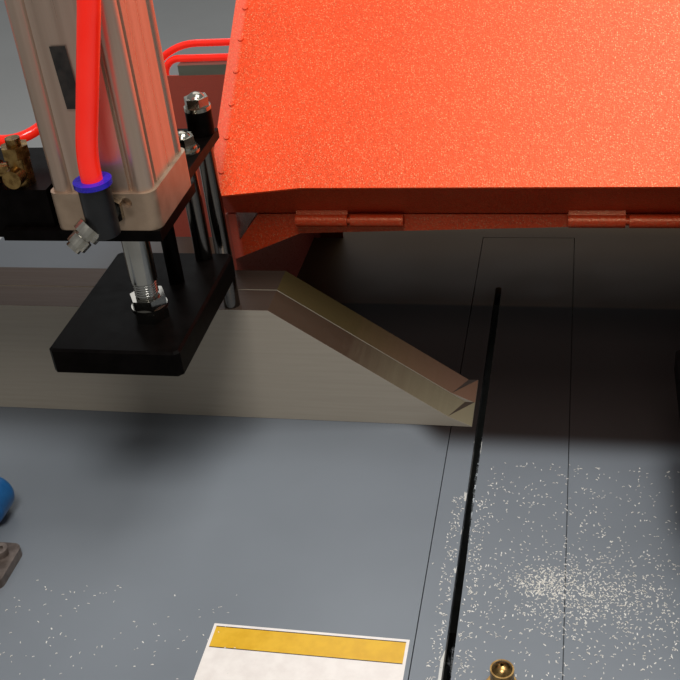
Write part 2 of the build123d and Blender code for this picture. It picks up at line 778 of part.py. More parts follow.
# Lines over the rear rail: (x of the upright ends, y, height, corner arc)
air_runs = ((376.5, 358.0, table_top + 219, 19.0), (404.0, 360.0, table_top + 235, 70.0))
fit_h = 22.0
fit_hex_h = 8.0
fit_hex_flats = 11.0
fit_wall = 1.5
riser_hex_h = 9.0
riser_hex_flats = 22.0
riser_collar_h = 9.0
riser_collar_r = 10.0
side_fit_len = 12.0
side_fit_r = 7.0
with BuildPart() as tube_fittings:
    for side in (-1, 1):
        x = side * riser_x
        hex_z(x, valve_y, valve_top, riser_hex_h, riser_hex_flats)
        collar_top = valve_top + riser_hex_h + riser_collar_h
        rod_z(x, valve_y, valve_top + riser_hex_h, collar_top, riser_collar_r)
        rod_z(x, valve_y, valve_top, collar_top, tube_big_r, Mode.SUBTRACT)
        x0, x1 = sorted((side * valve_in, side * (valve_in - side_fit_len)))
        rod_x(valve_side_y, valve_side_z, x0, x1, side_fit_r)
        rod_x(valve_side_y, valve_side_z, x0, x1, tube_small_r, Mode.SUBTRACT)
        for x, y, z, arc in air_runs:
            hex_z(side * x, y, table_top, fit_hex_h, fit_hex_flats)
            rod_z(side * x, y, table_top + fit_hex_h, table_top + fit_h, tube_small_r + fit_wall)
            rod_z(side * x, y, table_top + fit_hex_h, table_top + fit_h, tube_small_r, Mode.SUBTRACT)
save(tube_fittings.part, "tube_fittings")

# Brass elbows on the beams, and the brass spray nozzle beside the blade
brass_x = 290.0
brass_y = -139.0
brass_up = 9.0
brass_z = beam_top + brass_up
brass_run_r = 5.5
brass_body_r = 8.0
brass_nut_at = 318.0
brass_nut_len = 12.0
brass_nut_flats = 15.5
brass_body_h = 20.0
brass_top_h = 8.0
brass_top_flats = 17.0
brass_tip_h = 5.0
brass_tip_r = 5.0
brass_arm = 15.0
brass_arm_r = 6.5
nozzle_x = 38.0
nozzle_y = -276.0
nozzle_r = 8.0
nozzle_nut_h = 4.0
nozzle_nut_flats = 19.0
nozzle_body_h = 17.0
nozzle_bore = 1.2
with BuildPart() as brass_fittings:
    for side in (-1, 1):
        x0, x1 = sorted((side * valve_in, side * brass_x))
        rod_x(brass_y, brass_z, x0, x1, brass_run_r)
        x0 = min(side * brass_nut_at, side * (brass_nut_at - brass_nut_len))
        with BuildSketch(Plane(origin=(x0, brass_y, brass_z), z_dir=(1, 0, 0))):
            RegularPolygon(brass_nut_flats / 2, 6, major_radius=False)
        extrude(amount=brass_nut_len)
        x = side * brass_x
        z = beam_top + brass_body_h
        rod_z(x, brass_y, beam_top, z, brass_body_r)
        hex_z(x, brass_y, z, brass_top_h, brass_top_flats)
        rod_z(x, brass_y, z + brass_top_h, z + brass_top_h + brass_tip_h, brass_tip_r)
        rod_y(x, brass_z, brass_y - brass_arm, brass_y, brass_arm_r)
    hex_z(nozzle_x, nozzle_y, table_top, nozzle_nut_h, nozzle_nut_flats)
    nozzle_top = table_top + nozzle_body_h
    rod_z(nozzle_x, nozzle_y, table_top + nozzle_nut_h, nozzle_top, nozzle_r)
    with Locations((nozzle_x, nozzle_y, nozzle_top)):
        Sphere(nozzle_r, arc_size1=0, arc_size2=90)
    rod_z(nozzle_x, nozzle_y, table_top + nozzle_r, nozzle_top + 2 * nozzle_r, nozzle_bore, Mode.SUBTRACT)
save(brass_fittings.part, "brass_fittings")


# Air tubes between their fittings
def bend_radii(points, limit):
    """Arcs as large as the runs on both sides leave room for."""
    radii = []
    for a, b, c in zip(points, points[1:], points[2:]):
        first = Vector(*b) - Vector(*a)
        second = Vector(*c) - Vector(*b)
        turn = math.radians(first.get_angle(second))
        room = 0.45 * min(first.length, second.length) / math.tan(turn / 2)
        radii.append(min(limit, room))
    return radii


def tube(points, r, limit=120.0):
    with BuildLine() as path:
        FilletPolyline(*points, radius=bend_radii(points, limit))
    with BuildSketch(Plane(origin=path.line @ 0, z_dir=path.line % 0)) as section:
        Circle(r)
    sweep(section.sketch, path=path.line)


tube_peak = rear_cap_z + 190
ring_top = elbow_top + ring_h
# how far each front tube leans and bows on its way up, measured from its fitting
front_tubes = ((-1, clamp_left, 27, 33), (1, clamp_right, 3, 0))
with BuildPart() as air_tubes_large:
    for side, ax, lean, wave in front_tubes:
        x0 = ax + elbow_dx
        x1 = side * riser_x
        tube([(x0, fitting_y, elbow_top - elbow_seat), (x0, fitting_y, ring_top + 16),
              (x0 + lean, fitting_y, ring_top + 120), (x0 + wave, fitting_y + 1, ring_top + 260),
              (x0 - side * 5, fitting_y + 6, tube_peak - 40),
              (x0 + side * 60, fitting_y + 28, tube_peak + 20),
              (x1 + side * 4, valve_y, tube_peak - 70), (x1, valve_y, valve_top + 90),
              (x1, valve_y, valve_top)], tube_big_r)
save(air_tubes_large.part, "air_tubes_large")

with BuildPart() as air_tubes_small:
    for side, x in zip((-1, 1), rear_elbow_x):
        tube([(side * (valve_in - 2), valve_side_y, valve_side_z),
              (side * (valve_in - 32), valve_side_y, valve_side_z),
              (side * (valve_in - 62), rear_elbow_y, valve_side_z + 14),
              (x, rear_elbow_y, valve_side_z + 34),
              (x, rear_elbow_y, rear_elbow_low + rear_seat)], tube_small_r)
    for x, y, z, arc in air_runs:
        tube([(-x, y, table_top + fit_hex_h), (-x, y, z), (x, y, z), (x, y, table_top + fit_hex_h)],
             tube_small_r, arc)
save(air_tubes_small.part, "air_tubes_small")

# Rail on the rear sheet, with clips for the two lines
rail_x = 357.0
rail_d = 20.0
rail_h = 11.5
rail_y = guard_y
clip_x = (-120.0, 120.0)
clip_half = 6.0
clip_h = 28.0
foot_w = 20.0
rail_foot_h = 6.0
leg_in = 12.0
with BuildPart() as rear_rail:
    box_span(-rail_x, rail_x, rail_y, rail_y + rail_d, rail_z, rail_z + rail_h)
    leg_y0 = guard_y + hood_t
    for x in (-rail_x + leg_in, rail_x - leg_in):
        box_span(x - foot_w / 2, x + foot_w / 2, leg_y0, rail_y + rail_d, table_top, rail_z)
        box_span(x - foot_w, x + foot_w, leg_y0, rail_y + rail_d + foot_w / 2, table_top, table_top + rail_foot_h)
    for cx in clip_x:
        box_span(cx - clip_half, cx + clip_half, rail_y + 1, rail_y + rail_d - 1,
                 rail_z + rail_h, rail_z + rail_h + clip_h)
        for x, y, z, arc in air_runs:
            rod_x(y, z, cx - clip_half, cx + clip_half, tube_small_r, Mode.SUBTRACT)
save(rear_rail.part, "rear_rail")

# Front clamp: bracket with a flat foot and an upright boss, square cylinder, rod and soft pad
front_x = -396.0
front_up = 21.0
front_z = table_top + front_up
front_foot_half = 43.0
front_foot_t = 8.0
front_foot_d = 44.0
front_foot_round = 7.0
front_block_y = -230.0
front_block_t = 24.0
boss_half = 24.0
boss_h = 44.0
boss_chamfer = 5.0
front_rod_r = 6.0
front_bolt_in = 13.0
front_bolt_r = 6.5
front_bolt_h = 6.0
front_key_flats = 6.0
front_key_deep = 3.0
with BuildPart() as front_clamp_bracket:
    foot_mid = front_block_y + front_foot_d / 2
    with BuildSketch(Plane.XY.offset(table_top)):
        with Locations((front_x, foot_mid)):
            RectangleRounded(2 * front_foot_half, front_foot_d, front_foot_round)
    extrude(amount=front_foot_t)
    y1 = front_block_y + front_block_t
    box_span(front_x - boss_half, front_x + boss_half, front_block_y, y1, table_top, table_top + boss_h)
    chamfer(front_clamp_bracket.edges().filter_by(Axis.Y).group_by(Axis.Z)[-1], boss_chamfer)
    rod_y(front_x, front_z, front_block_y, y1, front_rod_r + run_fit, Mode.SUBTRACT)
    for side in (-1, 1):
        x = front_x + side * (front_foot_half - front_bolt_in)
        y = front_block_y + front_foot_d - front_bolt_in
        z = table_top + front_foot_t
        rod_z(x, y, z, z + front_bolt_h, front_bolt_r)
        hex_z(x, y, z + front_bolt_h, -front_key_deep, front_key_flats, Mode.SUBTRACT)
save(front_clamp_bracket.part, "front_clamp_bracket")

front_cyl_len = 150.0
front_cyl_s = 40.0
front_cyl_corner = 5.0
front_bore = 14.0
front_head = 14.0
front_screw_at = 14.0
front_screw_r = 3.0
front_screw_deep = 4.0
front_y0 = front_block_y - front_cyl_len
with BuildPart() as front_clamp_cylinder:
    with BuildSketch(Plane(origin=(front_x, front_y0, front_z), x_dir=(1, 0, 0), z_dir=(0, 1, 0))):
        RectangleRounded(front_cyl_s, front_cyl_s, front_cyl_corner)
    extrude(amount=front_cyl_len)
    rod_y(front_x, front_z, front_y0 + front_head, front_block_y - front_head, front_bore, Mode.SUBTRACT)
    rod_y(front_x, front_z, front_block_y - front_head, front_block_y, front_rod_r + run_fit, Mode.SUBTRACT)
    for dx in (-front_screw_at, front_screw_at):
        for dz in (-front_screw_at, front_screw_at):
            rod_y(front_x + dx, front_z + dz, front_y0, front_y0 + front_screw_deep, front_screw_r, Mode.SUBTRACT)
save(front_clamp_cylinder.part, "front_clamp_cylinder")

rod_tip = -165.0
rod_collar = 8.0
rod_collar_r = 10.0
front_piston_t = 12.0
front_piston_gap = 0.5
front_piston_stop = 4.0
with BuildPart() as front_rod:
    y0 = front_y0 + front_head + front_piston_stop
    rod_y(front_x, front_z, y0, rod_tip, front_rod_r)
    rod_y(front_x, front_z, y0, y0 + front_piston_t, front_bore - front_piston_gap)
    rod_y(front_x, front_z, rod_tip - rod_collar, rod_tip, rod_collar_r)
save(front_rod.part, "front_rod")

pad_len = 30.0
soft_pad_r = 18.0
pad_front_edge = 9.0
pad_back_edge = 3.0
with BuildPart() as front_pad:
    rod_y(front_x, front_z, rod_tip, rod_tip + pad_len, soft_pad_r)
    fillet(front_pad.faces().sort_by(Axis.Y)[-1].edges(), pad_front_edge)
    fillet(front_pad.faces().sort_by(Axis.Y)[0].edges(), pad_back_edge)
save(front_pad.part, "front_pad")

# Door, drawer and their hardware
front_face = front_out - sheet_t
door_left = -side_out + 12
door_right = side_out - 2
door_fold = 14.0
door_fold_in = 60.0
door_fold_z = 20.0
knuckle_r = 5.0
knuckle_len = 30.0
knuckle_gap = 1.0
door_pin_r = 2.5
knuckle_x = door_left - 4
knuckle_y = front_face - knuckle_r
door_hinge_in = 60.0
door_hinge_z = (door_low + door_hinge_in, door_top - door_hinge_in - 2 * knuckle_len)
leaf_x = door_left + 30
with BuildPart() as door_panel:
    box_span(door_left, door_right, front_face, front_out, door_low, door_top)
    for z in (door_low + door_fold_z, door_top - door_fold_z):
        box_span(door_left + door_fold_in, door_right - door_fold_in, front_out, front_out + door_fold,
                 z, z + sheet_t)
save(door_panel.part, "door_panel")

with BuildPart() as door_hinge_fixed:
    for z in door_hinge_z:
        rod_z(knuckle_x, knuckle_y, z, z + knuckle_len, knuckle_r)
        box_span(-side_out, knuckle_x, knuckle_y, front_out, z, z + knuckle_len)
        rod_z(knuckle_x, knuckle_y, z, z + 2 * knuckle_len + knuckle_gap, door_pin_r)
save(door_hinge_fixed.part, "door_hinge_fixed")

with BuildPart() as door_hinge_moving:
    for z in door_hinge_z:
        z0 = z + knuckle_len + knuckle_gap
        rod_z(knuckle_x, knuckle_y, z0, z0 + knuckle_len, knuckle_r)
        box_span(knuckle_x, leaf_x, front_face - sheet_t, front_face, z0, z0 + knuckle_len)
        rod_z(knuckle_x, knuckle_y, z0, z0 + knuckle_len, door_pin_r + run_fit, Mode.SUBTRACT)
save(door_hinge_moving.part, "door_hinge_moving")


handle_stand = 32.0
handle_r = 5.0
handle_arc = 12.0


def pull_handle(x0, x1, z0, z1):
    """A bent round bar standing on the front sheet."""
    y1 = front_face - handle_stand
    with BuildLine() as path:
        FilletPolyline((x0, front_face, z0), (x0, y1, z0), (x1, y1, z1), (x1, front_face, z1),
                       radius=handle_arc)
    with BuildSketch(Plane(origin=path.line @ 0, z_dir=path.line % 0)) as section:
        Circle(handle_r)
    sweep(section.sketch, path=path.line)


door_handle_x = door_right - 66
door_handle_half = 60.0
door_mid = (door_low + door_top) / 2
with BuildPart() as door_handle:
    pull_handle(door_handle_x, door_handle_x, door_mid - door_handle_half, door_mid + door_handle_half)
save(door_handle.part, "door_handle")

bin_wall = 1.5
bin_h = 138.0
bin_lift = 0.5
drawer_handle_half = 80.0
drawer_handle_up = 130.0
drawer_mid = (drawer_split - side_out) / 2
with BuildPart() as chip_drawer:
    z0 = pan_top + bin_lift
    z1 = z0 + bin_h
    w = bin_wall
    box_span(drawer_left, drawer_right, front_out, drawer_back, z0, z1)
    box_span(drawer_left + w, drawer_right - w, front_out + w, drawer_back - w, z0 + w, z1, Mode.SUBTRACT)
    box_span(-side_out, drawer_split - panel_gap / 2, front_face, front_out, rail_low, drawer_top)
save(chip_drawer.part, "chip_drawer")
with BuildPart() as drawer_handle:
    z = rail_low + drawer_handle_up
    pull_handle(drawer_mid - drawer_handle_half, drawer_mid + drawer_handle_half, z, z)
save(drawer_handle.part, "drawer_handle")

# Control box with its buttons
box_x = side_out - 155
box_w = 200.0
box_h = 104.0
box_d = 40.0
box_corner = 6.0
box_edge = 1.5
box_front = front_face - box_d
box_z = table_top - 105
button_dxs = (-66.0, -16.0)
emergency_dx = 54.0
button_r = 9.0
button_hole_r = 9.5
button_hole = 12.0
button_out = 6.0
button_in = 6.0
bezel_r = 14.0
bezel_t = 4.0
emergency_stem_r = 8.0
emergency_hole_r = 8.5
emergency_hole = 14.0
emergency_ring_r = 28.0
emergency_ring_t = 3.0
mushroom_r = 20.0
mushroom_out = 28.0
mushroom_t = 18.0
mushroom_edge = 7.0
with BuildPart() as control_box:
    box_span(box_x - box_w / 2, box_x + box_w / 2, box_front, front_face, box_z - box_h / 2, box_z + box_h / 2)
    fillet(control_box.edges().filter_by(Axis.Y), box_corner)
    chamfer(control_box.faces().sort_by(Axis.Y)[0].edges(), box_edge)
    for dx in button_dxs:
        rod_y(box_x + dx, box_z, box_front, box_front + button_hole, button_hole_r, Mode.SUBTRACT)
    rod_y(box_x + emergency_dx, box_z, box_front, box_front + emergency_hole, emergency_hole_r, Mode.SUBTRACT)
save(control_box.part, "control_box")

with BuildPart() as button_bezels:
    for dx in button_dxs:
        rod_y(box_x + dx, box_z, box_front - bezel_t, box_front, bezel_r)
        rod_y(box_x + dx, box_z, box_front - bezel_t, box_front, button_hole_r, Mode.SUBTRACT)
    x = box_x + emergency_dx
    rod_y(x, box_z, box_front - emergency_ring_t, box_front, emergency_ring_r)
    rod_y(x, box_z, box_front - emergency_ring_t, box_front, emergency_hole_r, Mode.SUBTRACT)
save(button_bezels.part, "button_bezels")

for name, dx in (("start_button", button_dxs[0]), ("stop_button", button_dxs[1])):
    with BuildPart() as button:
        rod_y(box_x + dx, box_z, box_front - button_out, box_front + button_in, button_r)
        chamfer(button.faces().sort_by(Axis.Y)[0].edges(), 1)
    save(button.part, name)

with BuildPart() as emergency_button:
    x = box_x + emergency_dx
    rod_y(x, box_z, box_front - mushroom_out, box_front + button_in, emergency_stem_r)
    rod_y(x, box_z, box_front - mushroom_out, box_front - mushroom_out + mushroom_t, mushroom_r)
    fillet(emergency_button.faces().sort_by(Axis.Y)[0].edges(), mushroom_edge)
save(emergency_button.part, "emergency_button")

# Saw unit: guide columns and lift cylinder fixed to the frame
column_flange = 32.0
flange_h = 12.0
with BuildPart() as guide_columns:
    for y in column_ys:
        rod_z(column_x, y, pan_top, table_under, column_r)
        rod_z(column_x, y, pan_top, pan_top + flange_h, column_flange)
        rod_z(column_x, y, table_under - flange_h, table_under, column_flange)
save(guide_columns.part, "guide_columns")

lift_bore = 25.0
lift_wall = 5.0
lift_head_wall = 8.0
lift_base = 35.0
lift_base_t = 12.0
lift_top = blade_z - 130
lift_head = 22.0
lift_floor = 20.0
lift_rod_r = 10.0
lift_piston_t = 20.0
lift_piston_gap = 0.5
lift_nut_h = 12.0
lift_nut_flats = 30.0
lug_z = blade_z - 60
lug_half = 22.0
lug_t = 20.0
with BuildPart() as lift_cylinder:
    box_span(lift_x - lift_base, lift_x + lift_base, lift_y - lift_base, lift_y + lift_base,
             pan_top, pan_top + lift_base_t)
    rod_z(lift_x, lift_y, pan_top + lift_base_t, lift_top, lift_bore + lift_wall)
    rod_z(lift_x, lift_y, lift_top - lift_head, lift_top, lift_bore + lift_head_wall)
    rod_z(lift_x, lift_y, pan_top + lift_floor, lift_top - lift_head, lift_bore, Mode.SUBTRACT)
    rod_z(lift_x, lift_y, lift_top - lift_head, lift_top, lift_rod_r + run_fit, Mode.SUBTRACT)
save(lift_cylinder.part, "lift_cylinder")

with BuildPart() as lift_rod:
    z0 = pan_top + lift_floor + 4
    rod_z(lift_x, lift_y, z0, lug_z, lift_rod_r)
    rod_z(lift_x, lift_y, z0, z0 + lift_piston_t, lift_bore - lift_piston_gap)
    hex_z(lift_x, lift_y, lug_z - lift_nut_h, lift_nut_h, lift_nut_flats)
save(lift_rod.part, "lift_rod")

# Saw unit: carriage that rides on the columns
carriage_t = 20.0
plate_x0 = column_x - carriage_t / 2
plate_x1 = column_x + carriage_t / 2
carriage_up = 75.0
shelf_t = 12.0
bush_r = 30.0
bush_len = 120.0
bush_z1 = blade_z - 80
bush_z0 = bush_z1 - bush_len
column_gap = 5.0
housing_r = 50.0
housing_x0 = 24.0
housing_x1 = 150.0
motor_z = blade_z - motor_drop
motor_x0 = 208.0
motor_x1 = 420.0
motor_foot_h = 10.0
bearing_len = 20.0
bearing_relief = 5.0
shelf_half = motor_r + 20
carriage_low = motor_z - motor_r - motor_foot_h - shelf_t
rib_x = 150.0
rib_z = 190.0
rib_t = 8.0
with BuildPart() as carriage:
    y0 = column_ys[0] + column_r + column_gap
    y1 = column_ys[1] - column_r - column_gap
    box_span(plate_x0, plate_x1, y0, y1, carriage_low, blade_z + carriage_up)
    box_span(plate_x1, motor_x1, blade_y - shelf_half, blade_y + shelf_half,
             carriage_low, carriage_low + shelf_t)
    for y in column_ys:
        rod_z(column_x, y, bush_z0, bush_z1, bush_r)
    rod_x(blade_y, blade_z, housing_x0, housing_x1, housing_r)
    box_span(plate_x1, lift_x + lug_half, lift_y - lug_half, lift_y + lug_half, lug_z, lug_z + lug_t)
    rib_low = carriage_low + shelf_t
    plate_xz([(plate_x1, rib_low), (plate_x1 + rib_x, rib_low), (plate_x1, rib_low + rib_z)],
             blade_y - shelf_half, blade_y - shelf_half + rib_t)
    for y in column_ys:
        rod_z(column_x, y, bush_z0, bush_z1, column_r + run_fit, Mode.SUBTRACT)
    rod_x(blade_y, blade_z, housing_x0, housing_x1, shaft_r + run_fit, Mode.SUBTRACT)
    rod_x(blade_y, blade_z, housing_x0 + bearing_len, housing_x1 - bearing_len, shaft_r + bearing_relief,
          Mode.SUBTRACT)
save(carriage.part, "carriage")

# Saw unit: blade with carbide teeth, flanges, spindle and pulley
tooth_h = 9.0
gullet_r = blade_r - tooth_h
flange_r = 60.0
flange_t = 12.0
tooth_root = gullet_r - 1.5
tooth = ((tooth_root, -4.5), (blade_r - 1.5, -1.2), (blade_r, 1.2), (tooth_root, 1.8))
with BuildPart() as saw_blade:
    with BuildSketch(Plane(origin=(-blade_t / 2, blade_y, blade_z), z_dir=(1, 0, 0))):
        Circle(gullet_r)
        with PolarLocations(0, teeth):
            Polygon(*tooth, align=None)
        Circle(shaft_r, mode=Mode.SUBTRACT)
    extrude(amount=blade_t)
save(saw_blade.part, "saw_blade")

pulley_x0 = 160.0
pulley_x1 = 192.0
spindle_nut_r = 27.0
shaft_out = 4.0
nut_len = 16.0
shaft_end = -blade_t / 2 - flange_t
rim_h = 6.0
rim_t = 3.0


def pulley(z, r):
    rod_x(blade_y, z, pulley_x0, pulley_x1, r)
    for x in (pulley_x0, pulley_x1 - rim_t):
        rod_x(blade_y, z, x, x + rim_t, r + rim_h)


with BuildPart() as saw_spindle:
    rod_x(blade_y, blade_z, shaft_end - nut_len - shaft_out, pulley_x1 + shaft_out, shaft_r)
    for x in (blade_t / 2, shaft_end):
        rod_x(blade_y, blade_z, x, x + flange_t, flange_r)
    with BuildSketch(Plane(origin=(shaft_end - nut_len, blade_y, blade_z), z_dir=(1, 0, 0))):
        RegularPolygon(spindle_nut_r, 6)
    extrude(amount=nut_len)
    pulley(blade_z, pulley_r)
save(saw_spindle.part, "saw_spindle")

rotor_in = 60.0
with BuildPart() as motor_rotor:
    pulley(motor_z, motor_pulley_r)
    rod_x(blade_y, motor_z, pulley_x0 - 2, motor_x0 + rotor_in, motor_shaft_r)
save(motor_rotor.part, "motor_rotor")


belt_clear = 0.35
belt_side = 1.0
belt_x0 = pulley_x0 + rim_t + belt_side
belt_w = pulley_x1 - pulley_x0 - 2 * rim_t - 2 * belt_side


def belt_loop(extra, mode):
    """Loop round both pulleys, drawn with Y across and Z up."""
    r0 = pulley_r + extra
    r1 = motor_pulley_r + extra
    drop = blade_z - motor_z
    tilt = math.asin((r1 - r0) / drop)
    top_y = r0 * math.cos(tilt)
    top_z = r0 * math.sin(tilt)
    low_y = r1 * math.cos(tilt)
    low_z = r1 * math.sin(tilt) - drop
    plane = Plane(origin=(belt_x0, blade_y, blade_z), x_dir=(0, 1, 0), z_dir=(1, 0, 0))
    with BuildSketch(plane) as outline:
        with BuildLine():
            Line((top_y, top_z), (low_y, low_z))
            ThreePointArc((low_y, low_z), (0, -drop - r1), (-low_y, low_z))
            Line((-low_y, low_z), (-top_y, top_z))
            ThreePointArc((-top_y, top_z), (0, r0), (top_y, top_z))
        make_face()
    extrude(outline.sketch, amount=belt_w, mode=mode)


with BuildPart() as drive_belt:
    belt_loop(belt_clear + belt_t, Mode.ADD)
    belt_loop(belt_clear, Mode.SUBTRACT)
save(drive_belt.part, "drive_belt")

motor_flange_t = 14.0
motor_fan_len = 36.0
motor_core_r = motor_r - 10
fan_r = motor_r - 3
fin_count = 20
fin_h = 14.0
fin_t = 3.5
motor_foot_len = 34.0
motor_foot_w = 32.0
motor_foot_at = (motor_x0 + 30, motor_x1 - 80)
motor_foot_dy = 62.0
motor_foot_top = motor_z - 55
terminal_x = (motor_x0 + 40, motor_x0 + 120)
terminal_half = 40.0
terminal_h = 26.0
with BuildPart() as motor:
    fan_x = motor_x1 - motor_fan_len
    core_x = motor_x0 + motor_flange_t
    rod_x(blade_y, motor_z, motor_x0, core_x, motor_r)
    rod_x(blade_y, motor_z, core_x, fan_x, motor_core_r)
    with BuildSketch(Plane(origin=(core_x, blade_y, motor_z), x_dir=(0, 1, 0), z_dir=(1, 0, 0))):
        with PolarLocations(motor_r - fin_h / 2 + 1, fin_count):
            Rectangle(fin_h, fin_t)
    extrude(amount=fan_x - core_x)
    rod_x(blade_y, motor_z, fan_x, motor_x1, fan_r)
    for x in motor_foot_at:
        for dy in (-motor_foot_dy, motor_foot_dy):
            y0 = blade_y + dy - motor_foot_w / 2
            box_span(x, x + motor_foot_len, y0, y0 + motor_foot_w, carriage_low + shelf_t, motor_foot_top)
    box_span(*terminal_x, blade_y - terminal_half, blade_y + terminal_half, motor_z + motor_core_r - 4,
             motor_z + motor_r + terminal_h)
    rod_x(blade_y, motor_z, motor_x0, motor_x0 + rotor_in + 4, motor_shaft_r + run_fit, Mode.SUBTRACT)
save(motor.part, "motor")
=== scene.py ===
import json
import math
import random

import bmesh
import bpy
from bpy.props import (
    FloatProperty,
    FloatVectorProperty,
    IntProperty,
    PointerProperty,
)
from mathutils import Matrix, Vector


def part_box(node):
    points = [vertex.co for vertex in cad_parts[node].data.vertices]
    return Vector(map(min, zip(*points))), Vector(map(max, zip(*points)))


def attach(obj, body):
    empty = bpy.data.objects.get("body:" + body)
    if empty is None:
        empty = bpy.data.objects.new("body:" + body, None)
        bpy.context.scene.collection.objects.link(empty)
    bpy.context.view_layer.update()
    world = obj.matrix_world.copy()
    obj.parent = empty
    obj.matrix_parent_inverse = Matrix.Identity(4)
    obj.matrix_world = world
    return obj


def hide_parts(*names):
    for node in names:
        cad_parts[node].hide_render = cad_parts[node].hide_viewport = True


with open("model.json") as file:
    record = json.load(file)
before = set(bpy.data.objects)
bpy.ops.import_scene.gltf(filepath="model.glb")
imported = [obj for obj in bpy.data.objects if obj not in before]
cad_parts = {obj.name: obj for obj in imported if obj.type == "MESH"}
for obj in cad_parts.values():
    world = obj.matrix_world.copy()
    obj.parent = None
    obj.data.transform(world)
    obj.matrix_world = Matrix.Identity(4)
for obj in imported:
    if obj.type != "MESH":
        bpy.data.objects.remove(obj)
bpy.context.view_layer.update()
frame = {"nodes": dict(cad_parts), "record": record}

bl_info = {
    "name": "Profile cutting machine",
    "version": (1, 0, 0),
    "blender": (4, 5, 0),
    "location": "View3D > Sidebar > Cutting machine",
    "description": "Dresses the aluminium profile cutting machine",
    "category": "Object",
}

MM = 0.001

# The frame's main places, in metres
TABLE_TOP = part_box("table_plate")[1][2]
CAP_LOW, CAP_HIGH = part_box("cylinder_caps")
BARREL_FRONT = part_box("cylinder_barrels")[0][1]
CAP_HALF = 37.5 * MM
CLAMP_XS = (CAP_LOW[0] + CAP_HALF, CAP_HIGH[0] - CAP_HALF)
CLAMP_Y = (CAP_LOW[1] + CAP_HIGH[1]) / 2
HOOD_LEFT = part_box("hood_top")[0][0]


# Colour and nodes
def linear(code):
    """Turns a written sRGB colour such as 8A7D6C into the linear one that shaders take."""
    out = []
    for k in range(0, 6, 2):
        c = int(code[k:k + 2], 16) / 255
        out.append(c / 12.92 if c <= 0.04045 else ((c + 0.055) / 1.055) ** 2.4)
    return (*out, 1.0)


def shade(colour, share):
    """The same colour lighter or darker by a share."""
    return (*(min(1.0, c * share) for c in colour[:3]), 1.0)


def add_node(tree, kind, links=(), stops=(), **settings):
    """Adds a node, sets its fields, sockets and ramp stops, and links other sockets into it."""
    made = tree.nodes.new(kind)
    for name, value in settings.items():
        if hasattr(made, name):
            setattr(made, name, value)
        else:
            made.inputs[name.replace("_", " ")].default_value = value
    for name, source in links:
        if isinstance(source, (int, float, tuple)):
            made.inputs[name].default_value = source
        else:
            tree.links.new(source, made.inputs[name])
    for k, (at, value) in enumerate(stops):
        cells = made.color_ramp.elements
        cell = cells[k] if k < 2 else cells.new(at)
        cell.position = at
        cell.color = value if isinstance(value, tuple) else (value, value, value, 1)
    return made


def new_surface(name):
    """A material with its shader, and the object's own coordinates in metres."""
    mat = bpy.data.materials.new(name)
    mat.use_nodes = True
    tree = mat.node_tree
    place = add_node(tree, "ShaderNodeTexCoord").outputs["Object"]
    return mat, tree, tree.nodes["Principled BSDF"], place


def clouds(tree, place, size_mm, detail=2.0, stretch=(1, 1, 1)):
    """Cloudy pattern with features about size_mm across; stretch lengthens them along an axis."""
    scale = tuple(1000.0 / (size_mm * s) for s in stretch)
    mapped = add_node(tree, "ShaderNodeMapping", [("Vector", place)], Scale=scale)
    return add_node(tree, "ShaderNodeTexNoise", [("Vector", mapped.outputs[0])],
                    Scale=1.0, Detail=detail).outputs["Fac"]


def drifting(name, dark, light, size_mm, rough, metal=0.0, grain=None, depth_mm=0.0,
             stretch=(1, 1, 1), **more):
    """A surface whose colour drifts between two near shades, with gloss and fine relief to match."""
    mat, tree, shader, place = new_surface(name)
    cloud = clouds(tree, place, size_mm, 3.0, stretch)
    colour = add_node(tree, "ShaderNodeValToRGB", [("Fac", cloud)],
                      [(0.35, linear(dark)), (0.65, linear(light))])
    tree.links.new(colour.outputs[0], shader.inputs["Base Color"])
    gloss = add_node(tree, "ShaderNodeValToRGB", [("Fac", cloud)], [(0.3, rough[0]), (0.7, rough[1])])
    tree.links.new(gloss.outputs[0], shader.inputs["Roughness"])
    shader.inputs["Metallic"].default_value = metal
    for key, value in more.items():
        shader.inputs[key.replace("_", " ")].default_value = value
    if grain:
        bumps = add_node(tree, "ShaderNodeBump", [("Height", clouds(tree, place, grain, 2.0, stretch))],
                         Strength=1.0, Distance=depth_mm * MM)
        tree.links.new(bumps.outputs[0], shader.inputs["Normal"])
    return mat


